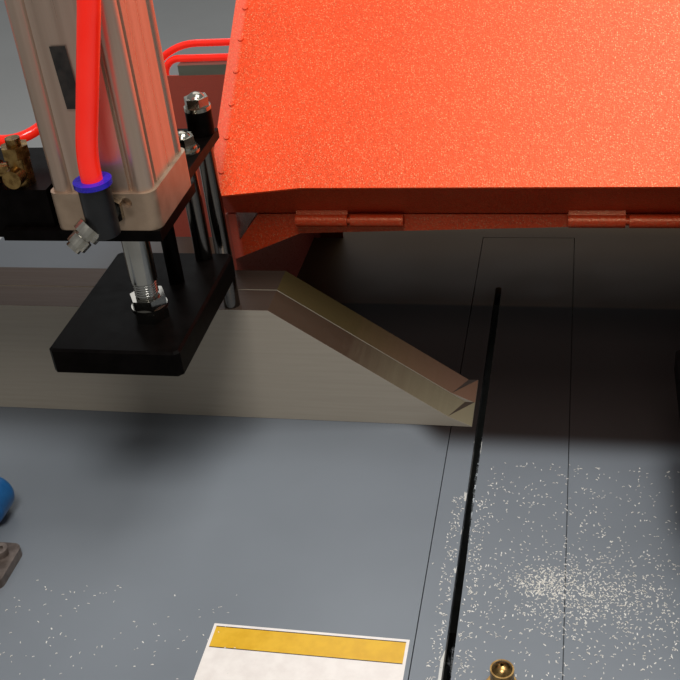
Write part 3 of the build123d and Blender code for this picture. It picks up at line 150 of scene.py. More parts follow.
# Finishes
def table_enamel(name, enamel, slot_worn):
    """Grey machine enamel, rolled on ground steel plate: satin, rubbed dull by profiles. Under the
    hood and just in front of it lies a painted shadow, and behind it a painted brown pool of light
    from behind. A painted shadow also lies along the fence's front, deepest below the left clamp.
    The insert has lost its paint along the saw slot."""
    mat, tree, shader, place = new_surface(name)
    cloud = clouds(tree, place, 150, 4.0)
    base = add_node(tree, "ShaderNodeValToRGB", [("Fac", cloud)],
                    [(0.3, shade(enamel, 0.93)), (0.7, shade(enamel, 1.06))]).outputs[0]
    axes = add_node(tree, "ShaderNodeSeparateXYZ", [("Vector", place)])
    # painted shadow on the table along the fence's front, from 75 mm ahead of it back under it, deepest below
    # the left clamp and its foot
    shadow_rise = add_node(tree, "ShaderNodeMapRange", [("Value", axes.outputs["Y"])],
                     interpolation_type="SMOOTHSTEP", From_Min=-75 * MM, From_Max=-8 * MM).outputs[0]
    shadow_depth = add_node(tree, "ShaderNodeMapRange", [("Value", axes.outputs["X"])],
                      interpolation_type="SMOOTHSTEP", From_Min=-175 * MM, From_Max=-225 * MM,
                      To_Min=0.22, To_Max=0.6).outputs[0]
    foot_shadow = add_node(tree, "ShaderNodeMath", [(0, shadow_rise), (1, shadow_depth)], operation="MULTIPLY").outputs[0]
    base = add_node(tree, "ShaderNodeMix", [("Factor", foot_shadow), (6, base), (7, linear("2E2F30"))],
                    data_type="RGBA").outputs[2]
    # painted shadow of the hood: it reaches 40 mm in front of the hood at the slot, and to the fence left of
    # it
    across = [add_node(tree, "ShaderNodeMapRange", [("Value", axes.outputs["X"])],
                       interpolation_type="SMOOTHSTEP", From_Min=start * MM, From_Max=end * MM).outputs[0]
              for start, end in ((-520, -240), (430, 270), (-80, -25), (285, 255))]
    under, slotted = (add_node(tree, "ShaderNodeMath", [(0, rise), (1, fall)],
                               operation="MULTIPLY").outputs[0]
                      for rise, fall in (across[:2], across[2:]))
    ahead = add_node(tree, "ShaderNodeMath", [(0, slotted), (1, 42 * MM), (2, axes.outputs["Y"])],
                     operation="MULTIPLY_ADD").outputs[0]
    shares = []
    # first a painted shadow under the hood, dark brown-grey; then, behind Y 200 mm, a painted brown pool of
    # light falling in under the hood from behind
    for along, start, end, colour in ((ahead, 0, 38, "231D1B"), (axes.outputs["Y"], 200, 206, "52412F")):
        reach = add_node(tree, "ShaderNodeMapRange", [("Value", along)],
                         interpolation_type="SMOOTHSTEP", From_Min=start * MM, From_Max=end * MM).outputs[0]
        shares.append(add_node(tree, "ShaderNodeMath", [(0, reach), (1, under)],
                               operation="MULTIPLY").outputs[0])
        base = add_node(tree, "ShaderNodeMix", [("Factor", shares[-1]), (6, base), (7, linear(colour))],
                        data_type="RGBA").outputs[2]
    # in the painted shadow the gloss is turned down too
    matt = add_node(tree, "ShaderNodeMapRange", [("Value", shares[0])],
                    To_Min=0.5, To_Max=0.08).outputs[0]
    tree.links.new(matt, shader.inputs["Specular IOR Level"])
    if slot_worn:
        # bare metal in patches 20 mm long, up to 5 mm left of the slot's middle and 4 mm right of it
        patches = clouds(tree, place, 12, 4.0, (1, 3, 1))
        for side, wide in ((-1, 5.4), (1, 3.6)):
            out = add_node(tree, "ShaderNodeMath", [(0, axes.outputs["X"]), (1, float(side))],
                           operation="MULTIPLY")
            reach = add_node(tree, "ShaderNodeMapRange", [("Value", patches)],
                             From_Min=0.50, From_Max=0.62, To_Min=0.0, To_Max=wide * MM)
            near = add_node(tree, "ShaderNodeMath", [(0, out.outputs[0]), (1, reach.outputs[0])],
                            operation="LESS_THAN")
            own_side = add_node(tree, "ShaderNodeMath", [(0, out.outputs[0]), (1, 0.0)],
                                operation="GREATER_THAN")
            fore = add_node(tree, "ShaderNodeMath", [(0, axes.outputs["Y"]), (1, -20 * MM)],
                            operation="LESS_THAN")
            both = add_node(tree, "ShaderNodeMath", [(0, near.outputs[0]), (1, own_side.outputs[0])],
                            operation="MULTIPLY")
            bare = add_node(tree, "ShaderNodeMath", [(0, both.outputs[0]), (1, fore.outputs[0])],
                            operation="MULTIPLY")
            base = add_node(tree, "ShaderNodeMix",
                            [("Factor", bare.outputs[0]), (6, base), (7, linear("C9C6BE"))],
                            data_type="RGBA").outputs[2]
    tree.links.new(base, shader.inputs["Base Color"])
    rubbed = clouds(tree, place, 60, 5.0)
    gloss = add_node(tree, "ShaderNodeValToRGB", [("Fac", rubbed)], [(0.3, 0.36), (0.7, 0.46)])
    tree.links.new(gloss.outputs[0], shader.inputs["Roughness"])
    bumps = add_node(tree, "ShaderNodeBump", [("Height", clouds(tree, place, 2.2))],
                     Strength=1.0, Distance=0.01 * MM)
    tree.links.new(bumps.outputs[0], shader.inputs["Normal"])
    return mat


# width of the cells that hold one spark each, in millimetres
SPARK_MM = 1.4


def hood_powder_paint(name, colour):
    """Textured powder paint, sprayed and baked: orange-red with a fine grain whose tops catch the
    light as dense sparks. The sparks are drawn about twice as wide as the real grain, so they show."""
    mat, tree, shader, place = new_surface(name)
    mapped = add_node(tree, "ShaderNodeMapping", [("Vector", place)], Scale=(1 / (SPARK_MM * MM),) * 3)
    cells = add_node(tree, "ShaderNodeTexVoronoi", [("Vector", mapped.outputs[0])], Scale=1.0)
    dots = add_node(tree, "ShaderNodeMapRange", [("Value", cells.outputs["Distance"])],
                    From_Min=0.5, From_Max=0.1)
    luck = add_node(tree, "ShaderNodeSeparateColor", [("Color", cells.outputs["Color"])])
    bright = add_node(tree, "ShaderNodeMapRange", [("Value", luck.outputs[0])],
                      From_Min=0.3, From_Max=1.0)
    sparks = add_node(tree, "ShaderNodeMath", [(0, dots.outputs[0]), (1, bright.outputs[0])],
                      operation="MULTIPLY").outputs[0]
    grain = clouds(tree, place, 1.2, 1.0)
    cloud = clouds(tree, place, 120, 2.0)
    flat = add_node(tree, "ShaderNodeValToRGB", [("Fac", cloud)],
                    [(0.3, shade(colour, 0.95)), (0.7, shade(colour, 1.08))]).outputs[0]
    # painted shade in the grain's hollows: some cells are drawn darker
    hollow_shade = add_node(tree, "ShaderNodeMapRange", [("Value", luck.outputs[1])],
                    From_Min=0.4, From_Max=1.0, To_Max=0.5)
    base = add_node(tree, "ShaderNodeMix", [("Factor", hollow_shade.outputs[0]), (6, flat), (7, shade(colour, 0.55))],
                    data_type="RGBA").outputs[2]
    base = add_node(tree, "ShaderNodeMix",
                    [("Factor", sparks), (6, base), (7, shade(linear("FFB07C"), colour[0]))],
                    data_type="RGBA").outputs[2]
    # painted highlight: the left edge strip outside the row of rivets, where the sheet is bent, is drawn
    # lighter and pinkish
    axes = add_node(tree, "ShaderNodeSeparateXYZ", [("Vector", place)])
    edge_highlight = add_node(tree, "ShaderNodeMapRange", [("Value", axes.outputs["X"])],
                      From_Min=HOOD_LEFT + 12 * MM, From_Max=HOOD_LEFT + 8 * MM, To_Max=0.4)
    base = add_node(tree, "ShaderNodeMix", [("Factor", edge_highlight.outputs[0]), (6, base), (7, linear("F07868"))],
                    data_type="RGBA").outputs[2]
    tree.links.new(base, shader.inputs["Base Color"])
    gloss = add_node(tree, "ShaderNodeValToRGB", [("Fac", sparks)], [(0.1, 0.38), (0.6, 0.14)])
    tree.links.new(gloss.outputs[0], shader.inputs["Roughness"])
    shader.inputs["Specular IOR Level"].default_value = 0.6
    shader.inputs["Specular Tint"].default_value = linear("FFD2A2")
    bumps = add_node(tree, "ShaderNodeBump", [("Height", grain)], Strength=1.0, Distance=0.3 * MM)
    tree.links.new(bumps.outputs[0], shader.inputs["Normal"])
    return mat


def fence_bar(name):
    """Aluminium flat bar, drawn and sawn: dull beige front faces with long draw marks, and saw cuts
    that go from brown at the top to green-grey on the front bar and tan on the back one. The cuts
    are kept dark partly as painted shade, and the level tops are painted dark as shade."""
    mat, tree, shader, place = new_surface(name)
    drawn = clouds(tree, place, 3, 3.0, (30, 1, 1))
    front = add_node(tree, "ShaderNodeValToRGB", [("Fac", drawn)],
                     [(0.3, linear("A59A8A")), (0.7, linear("ACA191"))]).outputs[0]
    axes = add_node(tree, "ShaderNodeSeparateXYZ", [("Vector", place)])
    marks = clouds(tree, place, 4, 2.0, (1, 10, 1))
    wavy = add_node(tree, "ShaderNodeMath", [(0, marks), (1, 18 * MM), (2, axes.outputs["Z"])],
                    operation="MULTIPLY_ADD").outputs[0]
    down = add_node(tree, "ShaderNodeMapRange", [("Value", wavy)],
                    From_Min=TABLE_TOP + 84 * MM, From_Max=TABLE_TOP + 14 * MM).outputs[0]
    cut_front = add_node(tree, "ShaderNodeMix",
                         [("Factor", down), (6, linear("3E2E22")), (7, linear("756B55"))],
                         data_type="RGBA").outputs[2]
    cut_back = add_node(tree, "ShaderNodeMix",
                        [("Factor", down), (6, linear("44381F")), (7, linear("6E5140"))],
                        data_type="RGBA").outputs[2]
    # the gap between the bars lies 34 mm behind the fence's face
    second = add_node(tree, "ShaderNodeMath", [(0, axes.outputs["Y"]), (1, 34 * MM)],
                      operation="GREATER_THAN")
    cut = add_node(tree, "ShaderNodeMix", [("Factor", second.outputs[0]), (6, cut_front), (7, cut_back)],
                   data_type="RGBA").outputs[2]
    # upright faces are drawn, sloping ones sawn, and level ones get a painted shade
    normal = add_node(tree, "ShaderNodeNewGeometry").outputs["Normal"]
    upward = add_node(tree, "ShaderNodeSeparateXYZ", [("Vector", normal)]).outputs["Z"]
    sloping = add_node(tree, "ShaderNodeMapRange", [("Value", upward)], From_Min=0.3, From_Max=0.5)
    base = add_node(tree, "ShaderNodeMix", [("Factor", sloping.outputs[0]), (6, front), (7, cut)],
                    data_type="RGBA").outputs[2]
    # painted shade on the level tops, which face up out of the light
    level = add_node(tree, "ShaderNodeMapRange", [("Value", upward)], From_Min=0.93, From_Max=0.97)
    base = add_node(tree, "ShaderNodeMix", [("Factor", level.outputs[0]), (6, base), (7, linear("3A2E26"))],
                    data_type="RGBA").outputs[2]
    tree.links.new(base, shader.inputs["Base Color"])
    shader.inputs["Specular IOR Level"].default_value = 0.25
    gloss = add_node(tree, "ShaderNodeValToRGB", [("Fac", drawn)], [(0.3, 0.42), (0.7, 0.55)])
    tree.links.new(gloss.outputs[0], shader.inputs["Roughness"])
    bumps = add_node(tree, "ShaderNodeBump", [("Height", drawn)], Strength=1.0, Distance=0.02 * MM)
    tree.links.new(bumps.outputs[0], shader.inputs["Normal"])
    return mat


def finishes(settings):
    """Every finish of the machine, by the record's slot name or by a piece's own word."""
    out = {}
    # baked powder paint on sheet: even, satin, with a faint orange peel
    out["panel_paint"] = drifting("Powder_paint_baked_light_grey", "BDBEB8", "C6C7C1", 60, (0.40, 0.48),
                                  grain=1.4, depth_mm=0.02)
    out["frame_paint"] = drifting("Powder_paint_baked_mid_grey", "85888A", "8D9092", 50, (0.40, 0.50),
                                  grain=1.4, depth_mm=0.02)
    out["hood_paint"] = hood_powder_paint("Powder_paint_baked_textured_orange_red", settings.hood_colour)
    # the same paint darkened to 0.42 as painted shade, for the lip, the beam and the hinges that face down
    # out of the light
    dull = hood_powder_paint("Powder_paint_baked_textured_dulled_by_oil",
                             shade(settings.hood_colour, 0.42))
    for name in ("hood_lip", "hood_beam", "hinge_fixed", "hinge_moving"):
        out[name] = dull
    # the same paint darkened to 0.13: a deep painted shade inside the hood's box
    out["hood_box_walls"] = hood_powder_paint("Powder_paint_baked_textured_sooty",
                                              shade(settings.hood_colour, 0.13))
    out["table_steel"] = table_enamel("Enamel_rolled_on_plate", settings.table_colour, False)
    out["table_insert"] = table_enamel("Enamel_rolled_on_insert_worn_at_slot", settings.table_colour, True)
    out["fence_aluminium"] = fence_bar("Aluminium_bar_drawn_and_sawn")
    # extruded, uncoated: greenish grey with long soft die lines
    out["rail_aluminium"] = drifting("Aluminium_extruded_plain", "8B917F", "A0A596", 25, (0.35, 0.5),
                                     metal=0.8, grain=3, depth_mm=0.01, stretch=(10, 1, 1))
    # die cast, then anodised: warm light grey with a fine matt skin
    out["cap_aluminium"] = drifting("Aluminium_cast_and_anodised", "A08871", "B0977F", 12, (0.34, 0.44),
                                    metal=0.6, grain=0.8, depth_mm=0.02)
    # drawn tube, anodised: warm, with bright streaks along its length
    out["cylinder_barrels"] = drifting("Aluminium_drawn_and_anodised", "B89F8C", "CCB4A0", 9, (0.26, 0.36),
                                       metal=0.7, grain=1.6, depth_mm=0.004, stretch=(1, 1, 60))
    # bar blackened in hot salts, then oiled: near black with brown depths and a soft sheen
    out["black_steel"] = drifting("Steel_blackened_in_hot_salts", "050302", "0A0706", 8, (0.34, 0.44),
                                  grain=0.7, depth_mm=0.01, Specular_IOR_Level=0.04)
    # cast, then browned and rubbed to a sheen; the brown is drawn lighter than the dark iron, partly its own
    # colour and partly a painted reflection
    out["front_clamp_bracket"] = drifting("Iron_cast_and_browned", "5C5049", "80736A", 9, (0.28, 0.42),
                                          metal=0.4, grain=1.2, depth_mm=0.05)
    # hard chrome over a ground rod: its colour is darkened as a painted reflection of dark surroundings, with
    # bright edges
    out["bright_steel"] = drifting("Steel_hard_chromed", "96938C", "A8A59E", 30, (0.08, 0.14), metal=1.0)
    # ground bar with a film of oil: smooth; its colour is darkened as a painted reflection of the dark things
    # around it
    out["clamp_posts"] = drifting("Steel_ground_and_oiled", "6E6862", "7D7770", 20, (0.14, 0.22), metal=1.0,
                                  grain=2.0, depth_mm=0.004, stretch=(1, 1, 12))
    # zinc plated and yellowed a little: bright, slightly cloudy
    out["zinc_steel"] = drifting("Steel_zinc_plated", "A09A8E", "BEB8AA", 9, (0.14, 0.24), metal=1.0,
                                 grain=1.6, depth_mm=0.004)
    # ground plate: bright with fine rings
    out["saw_steel"] = drifting("Steel_ground_in_rings", "A3A6A8", "B9BBBC", 4, (0.22, 0.34), metal=1.0,
                                grain=0.8, depth_mm=0.01, stretch=(1, 8, 1))
    # sand cast, then painted: rough grey skin
    out["grey_iron"] = drifting("Iron_sand_cast_and_painted", "55595C", "65696B", 20, (0.45, 0.6),
                                grain=1.6, depth_mm=0.12)
    # turned brass, tarnished: bronze-brown in the hollows and gold on the tops
    out["brass"] = drifting("Brass_turned_and_tarnished", "7C5F38", "B08E58", 5, (0.20, 0.34), metal=1.0,
                            grain=0.6, depth_mm=0.01)
    # injection moulded nylon: black, satin, slightly grained
    out["black_plastic"] = drifting("Nylon_moulded_black", "0E0E0F", "171718", 10, (0.34, 0.44),
                                    grain=0.6, depth_mm=0.015)
    # moulded acetal: smooth blue-violet with a low gloss
    out["blue_plastic"] = drifting("Acetal_moulded_blue_violet", "251CA8", "3026BE", 8, (0.24, 0.32))
    # moulded ABS: even colour with a gloss
    out["red_plastic"] = drifting("ABS_moulded_red", "BC120E", "CB1A14", 12, (0.22, 0.3))
    out["green_plastic"] = drifting("ABS_moulded_green", "14803A", "1C8D45", 12, (0.22, 0.3))
    # extruded polyurethane, dyed red: glossy, and given a painted glow, a weak red emission, so it looks
    # brighter than the lamps make it
    out["red_tube"] = drifting("Polyurethane_extruded_red", "FB2412", "FF2E1C", 30, (0.2, 0.28),
                               Coat_Weight=0.3, Emission_Color=linear("FF2412"), Emission_Strength=0.3)
    # moulded in a blasted mould: near black and dull
    out["black_rubber"] = drifting("Rubber_moulded_black", "131313", "1D1D1D", 6, (0.6, 0.75),
                                   grain=1.0, depth_mm=0.03)
    # cast in an open mould: even blue and smooth
    out["blue_rubber"] = drifting("Polyurethane_cast_blue", "17568C", "20659E", 12, (0.28, 0.38))
    # printed film, laminated: even colour under a low gloss, dulled by fine scuffs
    out["label_white"] = drifting("Vinyl_film_printed_white", "E6DCD3", "EFE6DD", 9, (0.3, 0.42))
    out["label_yellow"] = drifting("Vinyl_film_printed_yellow", "D9A523", "E4B22D", 9, (0.3, 0.42))
    out["label_black"] = drifting("Vinyl_film_printed_black", "1A1815", "2A2621", 6, (0.34, 0.5))
    # fresh chips, torn by the blade: bright curls with a matt side
    out["chips"] = drifting("Aluminium_chips_torn", "CFC8BC", "EEE9DF", 3, (0.35, 0.55))
    # hexagon sockets are drawn near black: painted shade in the recess
    out["screw_socket"] = drifting("Steel_blackened_oily_recess", "0A0908", "141210", 3, (0.5, 0.6))
    return out


# rounding of the edges that the light catches, in millimetres
ROUND_MM = {"hood_top": 0.8, "hood_lip": 0.6, "fence_left": 0.5, "fence_right": 0.5,
            "cylinder_caps": 1.0, "clamp_foot_left": 0.5, "clamp_foot_right": 0.5}
SLOT_OF = {s["node"]: s["material_slot"] for s in frame["record"]["subparts"]}


# the material's name for each word of finishes(), filled by the first operator
FINISH_NAMES = {}


def finish_named(word):
    """The finish of that word."""
    return bpy.data.materials[FINISH_NAMES[word]]


# Mesh code
def new_piece(name, bm, words, body):
    """Turns a bmesh into a piece that rides a body and wears the finishes of the given words."""
    mesh = bpy.data.meshes.new(name)
    bm.to_mesh(mesh)
    bm.free()
    piece = bpy.data.objects.new(name, mesh)
    bpy.context.scene.collection.objects.link(piece)
    for word in words:
        mesh.materials.append(finish_named(word))
    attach(piece, body)
    return piece


def ring_of(bm, place, radius, height, sides):
    """A ring of vertices at a height along the place's own Z."""
    made = []
    for k in range(sides):
        turn = 2 * math.pi * k / sides
        made.append(bm.verts.new(place @ Vector((radius * math.cos(turn), radius * math.sin(turn), height))))
    return made


def hexagon_of(bm, place, flats, height, sides):
    """A ring of vertices on a hexagon, with as many points as the round ring outside it."""
    made = []
    for k in range(sides):
        turn = 2 * math.pi * k / sides
        off = (turn + math.pi / 6) % (math.pi / 3) - math.pi / 6
        reach = flats / 2 / math.cos(off)
        made.append(bm.verts.new(place @ Vector((reach * math.cos(turn), reach * math.sin(turn), height))))
    return made


def join_rings(bm, rings, smooth=True, cell=0):
    """Faces between each ring and the next."""
    for low, high in zip(rings, rings[1:]):
        count = len(low)
        for k in range(count):
            face = bm.faces.new((low[k], low[(k + 1) % count], high[(k + 1) % count], high[k]))
            face.smooth = smooth
            face.material_index = cell


# corners of a round screw head, and steps in a turn of a thread
SCREW_SIDES = 24
THREAD_STEPS = 20


def socket_screw(bm, place, radius, height):
    """Cap screw head with a hexagon socket, standing on the place's XY plane. The socket is as wide
    as the head's radius."""
    sides = SCREW_SIDES
    edge = radius * 0.12
    outer = [ring_of(bm, place, radius, 0, sides), ring_of(bm, place, radius, height - edge, sides),
             ring_of(bm, place, radius - edge, height, sides)]
    join_rings(bm, outer)
    rim = hexagon_of(bm, place, radius, height, sides)
    join_rings(bm, [outer[-1], rim], smooth=False)
    floor = hexagon_of(bm, place, radius, height * 0.4, sides)
    join_rings(bm, [rim, floor], smooth=False, cell=1)
    face = bm.faces.new(floor)
    face.material_index = 1


def dome_screw(bm, place, radius, height):
    """Low domed panel screw with a hexagon socket, 0.72 of the head's radius wide."""
    sides = SCREW_SIDES
    rings = [ring_of(bm, place, radius, 0, sides)]
    for k in range(1, 5):
        turn = k / 5 * math.pi / 2
        wide = radius * (0.45 + 0.55 * math.cos(turn))
        rings.append(ring_of(bm, place, wide, height * math.sin(turn), sides))
    join_rings(bm, rings)
    rim = hexagon_of(bm, place, radius * 0.72, height, sides)
    join_rings(bm, [rings[-1], rim], smooth=False)
    floor = hexagon_of(bm, place, radius * 0.72, height * 0.35, sides)
    join_rings(bm, [rim, floor], smooth=False, cell=1)
    face = bm.faces.new(floor)
    face.material_index = 1


def thread_ridge(bm, place, radius, depth, pitch, length):
    """Helical ridge of a screw thread wound on a round bar."""
    count = int(length / pitch * THREAD_STEPS)
    before = None
    for k in range(count + 1):
        turn = 2 * math.pi * k / THREAD_STEPS
        level = pitch * k / THREAD_STEPS
        cells = []
        # the ridge's foot, tip and other foot, up the thread by shares of the pitch
        for out, up in ((0, 0.05), (depth, 0.5), (0, 0.95)):
            reach = radius + out
            at = Vector((reach * math.cos(turn), reach * math.sin(turn), level + up * pitch))
            cells.append(bm.verts.new(place @ at))
        if before:
            for i in range(2):
                face = bm.faces.new((before[i], cells[i], cells[i + 1], before[i + 1]))
                face.smooth = True
        before = cells


def soften(piece, width_mm):
    """Rounds the sharp edges a little, so that they catch the light."""
    edge = piece.modifiers.new("Edge", "BEVEL")
    edge.width = width_mm * MM
    edge.segments = 2
    edge.limit_method = "ANGLE"
    edge.angle_limit = math.radians(35)
    edge.harden_normals = True


def facing(at, axis):
    """A place at a point whose own Z looks along an axis."""
    return Matrix.Translation(Vector(at)) @ Vector(axis).to_track_quat("Z", "Y").to_matrix().to_4x4()


def flat_label(bm, corners, lift, parts):
    """Thin film on a face: corners go round it, parts are (share down, finish cell) bands."""
    top_left, top_right, low_right, low_left = (Vector(c) for c in corners)
    normal = (low_left - top_left).cross(top_right - top_left).normalized()
    start = 0.0
    for end, cell in parts:
        cells = []
        for a, b, share in ((top_left, low_left, start), (top_right, low_right, start),
                            (top_right, low_right, end), (top_left, low_left, end)):
            cells.append(bm.verts.new(a.lerp(b, share) + normal * lift))
        face = bm.faces.new(cells[::-1])
        face.material_index = cell
        start = end


def spaced(first, last, count):
    """Evenly spaced places from the first to the last."""
    return [first + (last - first) * k / (count - 1) for k in range(count)]


def ends(low, high, inset):
    """The two places that lie an inset inside a range."""
    return low + inset, high - inset


# Operators
class CUTTER_OT_dress_solids(bpy.types.Operator):
    """Gives every CAD solid its finish and a small rounded edge"""

    bl_idname = "cutter.dress_solids"
    bl_label = "Dress the solids"

    def execute(self, context):
        looks = finishes(context.scene.cutter_finish)
        FINISH_NAMES.update({word: mat.name for word, mat in looks.items()})
        for name, solid in frame["nodes"].items():
            mat = looks.get(name) or looks[SLOT_OF[name]]
            if not solid.material_slots:
                solid.data.materials.append(mat)
            for cell in solid.material_slots:
                cell.material = mat
            soften(solid, ROUND_MM.get(name, 0.35))
        return {"FINISHED"}


# each fence's side, its toe's distance from the slot's middle and its slope's length in millimetres
FENCES = {"left": (-1, 16, 163), "right": (1, 197, 143)}
BAR_GAP = 1 * MM
# the toe's height and reach, the height that is left at its bevelled tip, and the bevel's length
TOE_HEIGHT = 2.5 * MM
TOE_REACH = 9 * MM
TIP_HEIGHT = 0.8 * MM
BEVEL_LENGTH = 12 * MM


class CUTTER_OT_add_fence(bpy.types.Operator):
    """Adds the fence bars, whose sloped ends have a bevel at the toe alone"""

    bl_idname = "cutter.add_fence"
    bl_label = "Fence bars"

    def execute(self, context):
        for name, (side, toe, slope) in FENCES.items():
            low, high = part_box("fence_" + name)
            thick = (high[1] - low[1] - BAR_GAP) / 2
            end = max(abs(low[0]), abs(high[0]))
            bm = bmesh.new()
            for y in (low[1], high[1] - thick):
                self.bar(bm, side, (y, y + thick), (toe * MM, (toe + slope) * MM, end), high[2])
            piece = new_piece("fence_bars_" + name, bm, ("fence_aluminium",), "machine")
            soften(piece, ROUND_MM["fence_" + name])
            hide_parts("fence_" + name)
        return {"FINISHED"}

    def bar(self, bm, side, depth, places, top):
        """One bar: its front outline loses the toe's corner, its back outline keeps it."""
        toe, slope_top, end = places
        foot = TABLE_TOP + TOE_HEIGHT
        point = toe - TOE_REACH
        bevel = toe + BEVEL_LENGTH
        bevel_z = foot + (top - foot) * (bevel - toe) / (slope_top - toe)
        rest = [(slope_top, top), (end, top), (end, TABLE_TOP)]
        front = [(point, TABLE_TOP), (point, TABLE_TOP + TIP_HEIGHT), (bevel, bevel_z), *rest]
        back = [(point, TABLE_TOP), (point, foot), (toe, foot), *rest]
        near, far = ([bm.verts.new((side * x, y, z)) for x, z in outline]
                     for outline, y in zip((front, back), depth))
        bm.faces.new(near)
        bm.faces.new(far[::-1])
        # two triangles make the bevel, and four-sided faces close the rest
        bm.faces.new((near[1], near[2], far[1]))
        bm.faces.new((near[2], far[2], far[1]))
        for k in (0, 2, 3, 4, 5):
            n = (k + 1) % 6
            bm.faces.new((near[k], near[n], far[n], far[k]))
        bmesh.ops.recalc_face_normals(bm, faces=bm.faces)


# the films: the table label's rear left corner, its white rim, how high each film's face lies,
# a dark line's share of the label's depth, and the barrel film's corners as x and height over the table
LABEL_CORNER = (-0.174, -0.244)
LABEL_RIM = 2.2 * MM
FILM_FACE = 0.15 * MM
PRINT_FACE = 0.22 * MM
DARK_LINE = 0.008
BARREL_FILM = ((-0.2401, 0.404), (-0.2295, 0.404), (-0.2274, 0.3635), (-0.2383, 0.3635))


class CUTTER_OT_add_labels(bpy.types.Operator):
    """Adds the bare film labels on the table and on the left barrel"""

    bl_idname = "cutter.add_labels"
    bl_label = "Bare labels"

    def execute(self, context):
        sizes = context.scene.cutter_details
        band = sizes.label_band / sizes.label_depth
        bands = [(DARK_LINE, 2), (band, 1), (band + DARK_LINE, 2), (1.0, 0)]
        bm = bmesh.new()
        for inset, lift, parts in ((0.0, FILM_FACE, [(1.0, 0)]), (LABEL_RIM, PRINT_FACE, bands)):
            left = LABEL_CORNER[0] + inset
            right = LABEL_CORNER[0] + sizes.label_width - inset
            rear = LABEL_CORNER[1] - inset
            front = LABEL_CORNER[1] - sizes.label_depth + inset
            outline = ((left, rear), (right, rear), (right, front), (left, front))
            flat_label(bm, [(x, y, TABLE_TOP) for x, y in outline], lift, parts)
        new_piece("table_label", bm, ("label_white", "label_yellow", "label_black"), "machine")
        bm = bmesh.new()
        corners = [(x, BARREL_FRONT, TABLE_TOP + z) for x, z in BARREL_FILM]
        flat_label(bm, corners, FILM_FACE, [(1.0, 0)])
        new_piece("barrel_label", bm, ("label_black",), "machine")
        return {"FINISHED"}


# radius and height of each screw head
CAP_SCREW = (4.2 * MM, 4.6 * MM)
FRONT_CAP_SCREW = (2.8 * MM, 3.6 * MM)
BOX_SCREW = (3.2 * MM, 1.4 * MM)
FLANGE_SCREW = (3.2 * MM, 1.6 * MM)
HINGE_SCREW = (3.4 * MM, 1.6 * MM)
# half the spacing of the screws in the square caps, and the radius of the spigot flange's screw circle
CAP_HOLES = 28 * MM
FRONT_CAP_HOLES = 14 * MM
FLANGE_CIRCLE = 56 * MM
# from a sheet's edge to its screws, from its end to the first screw of a row, the same for the rear
# sheet's level rows, and from the control box's edge to its screws
SHEET_EDGE = 25 * MM
SHEET_END = 40 * MM
REAR_ROW_END = 220 * MM
BOX_EDGE = 9 * MM


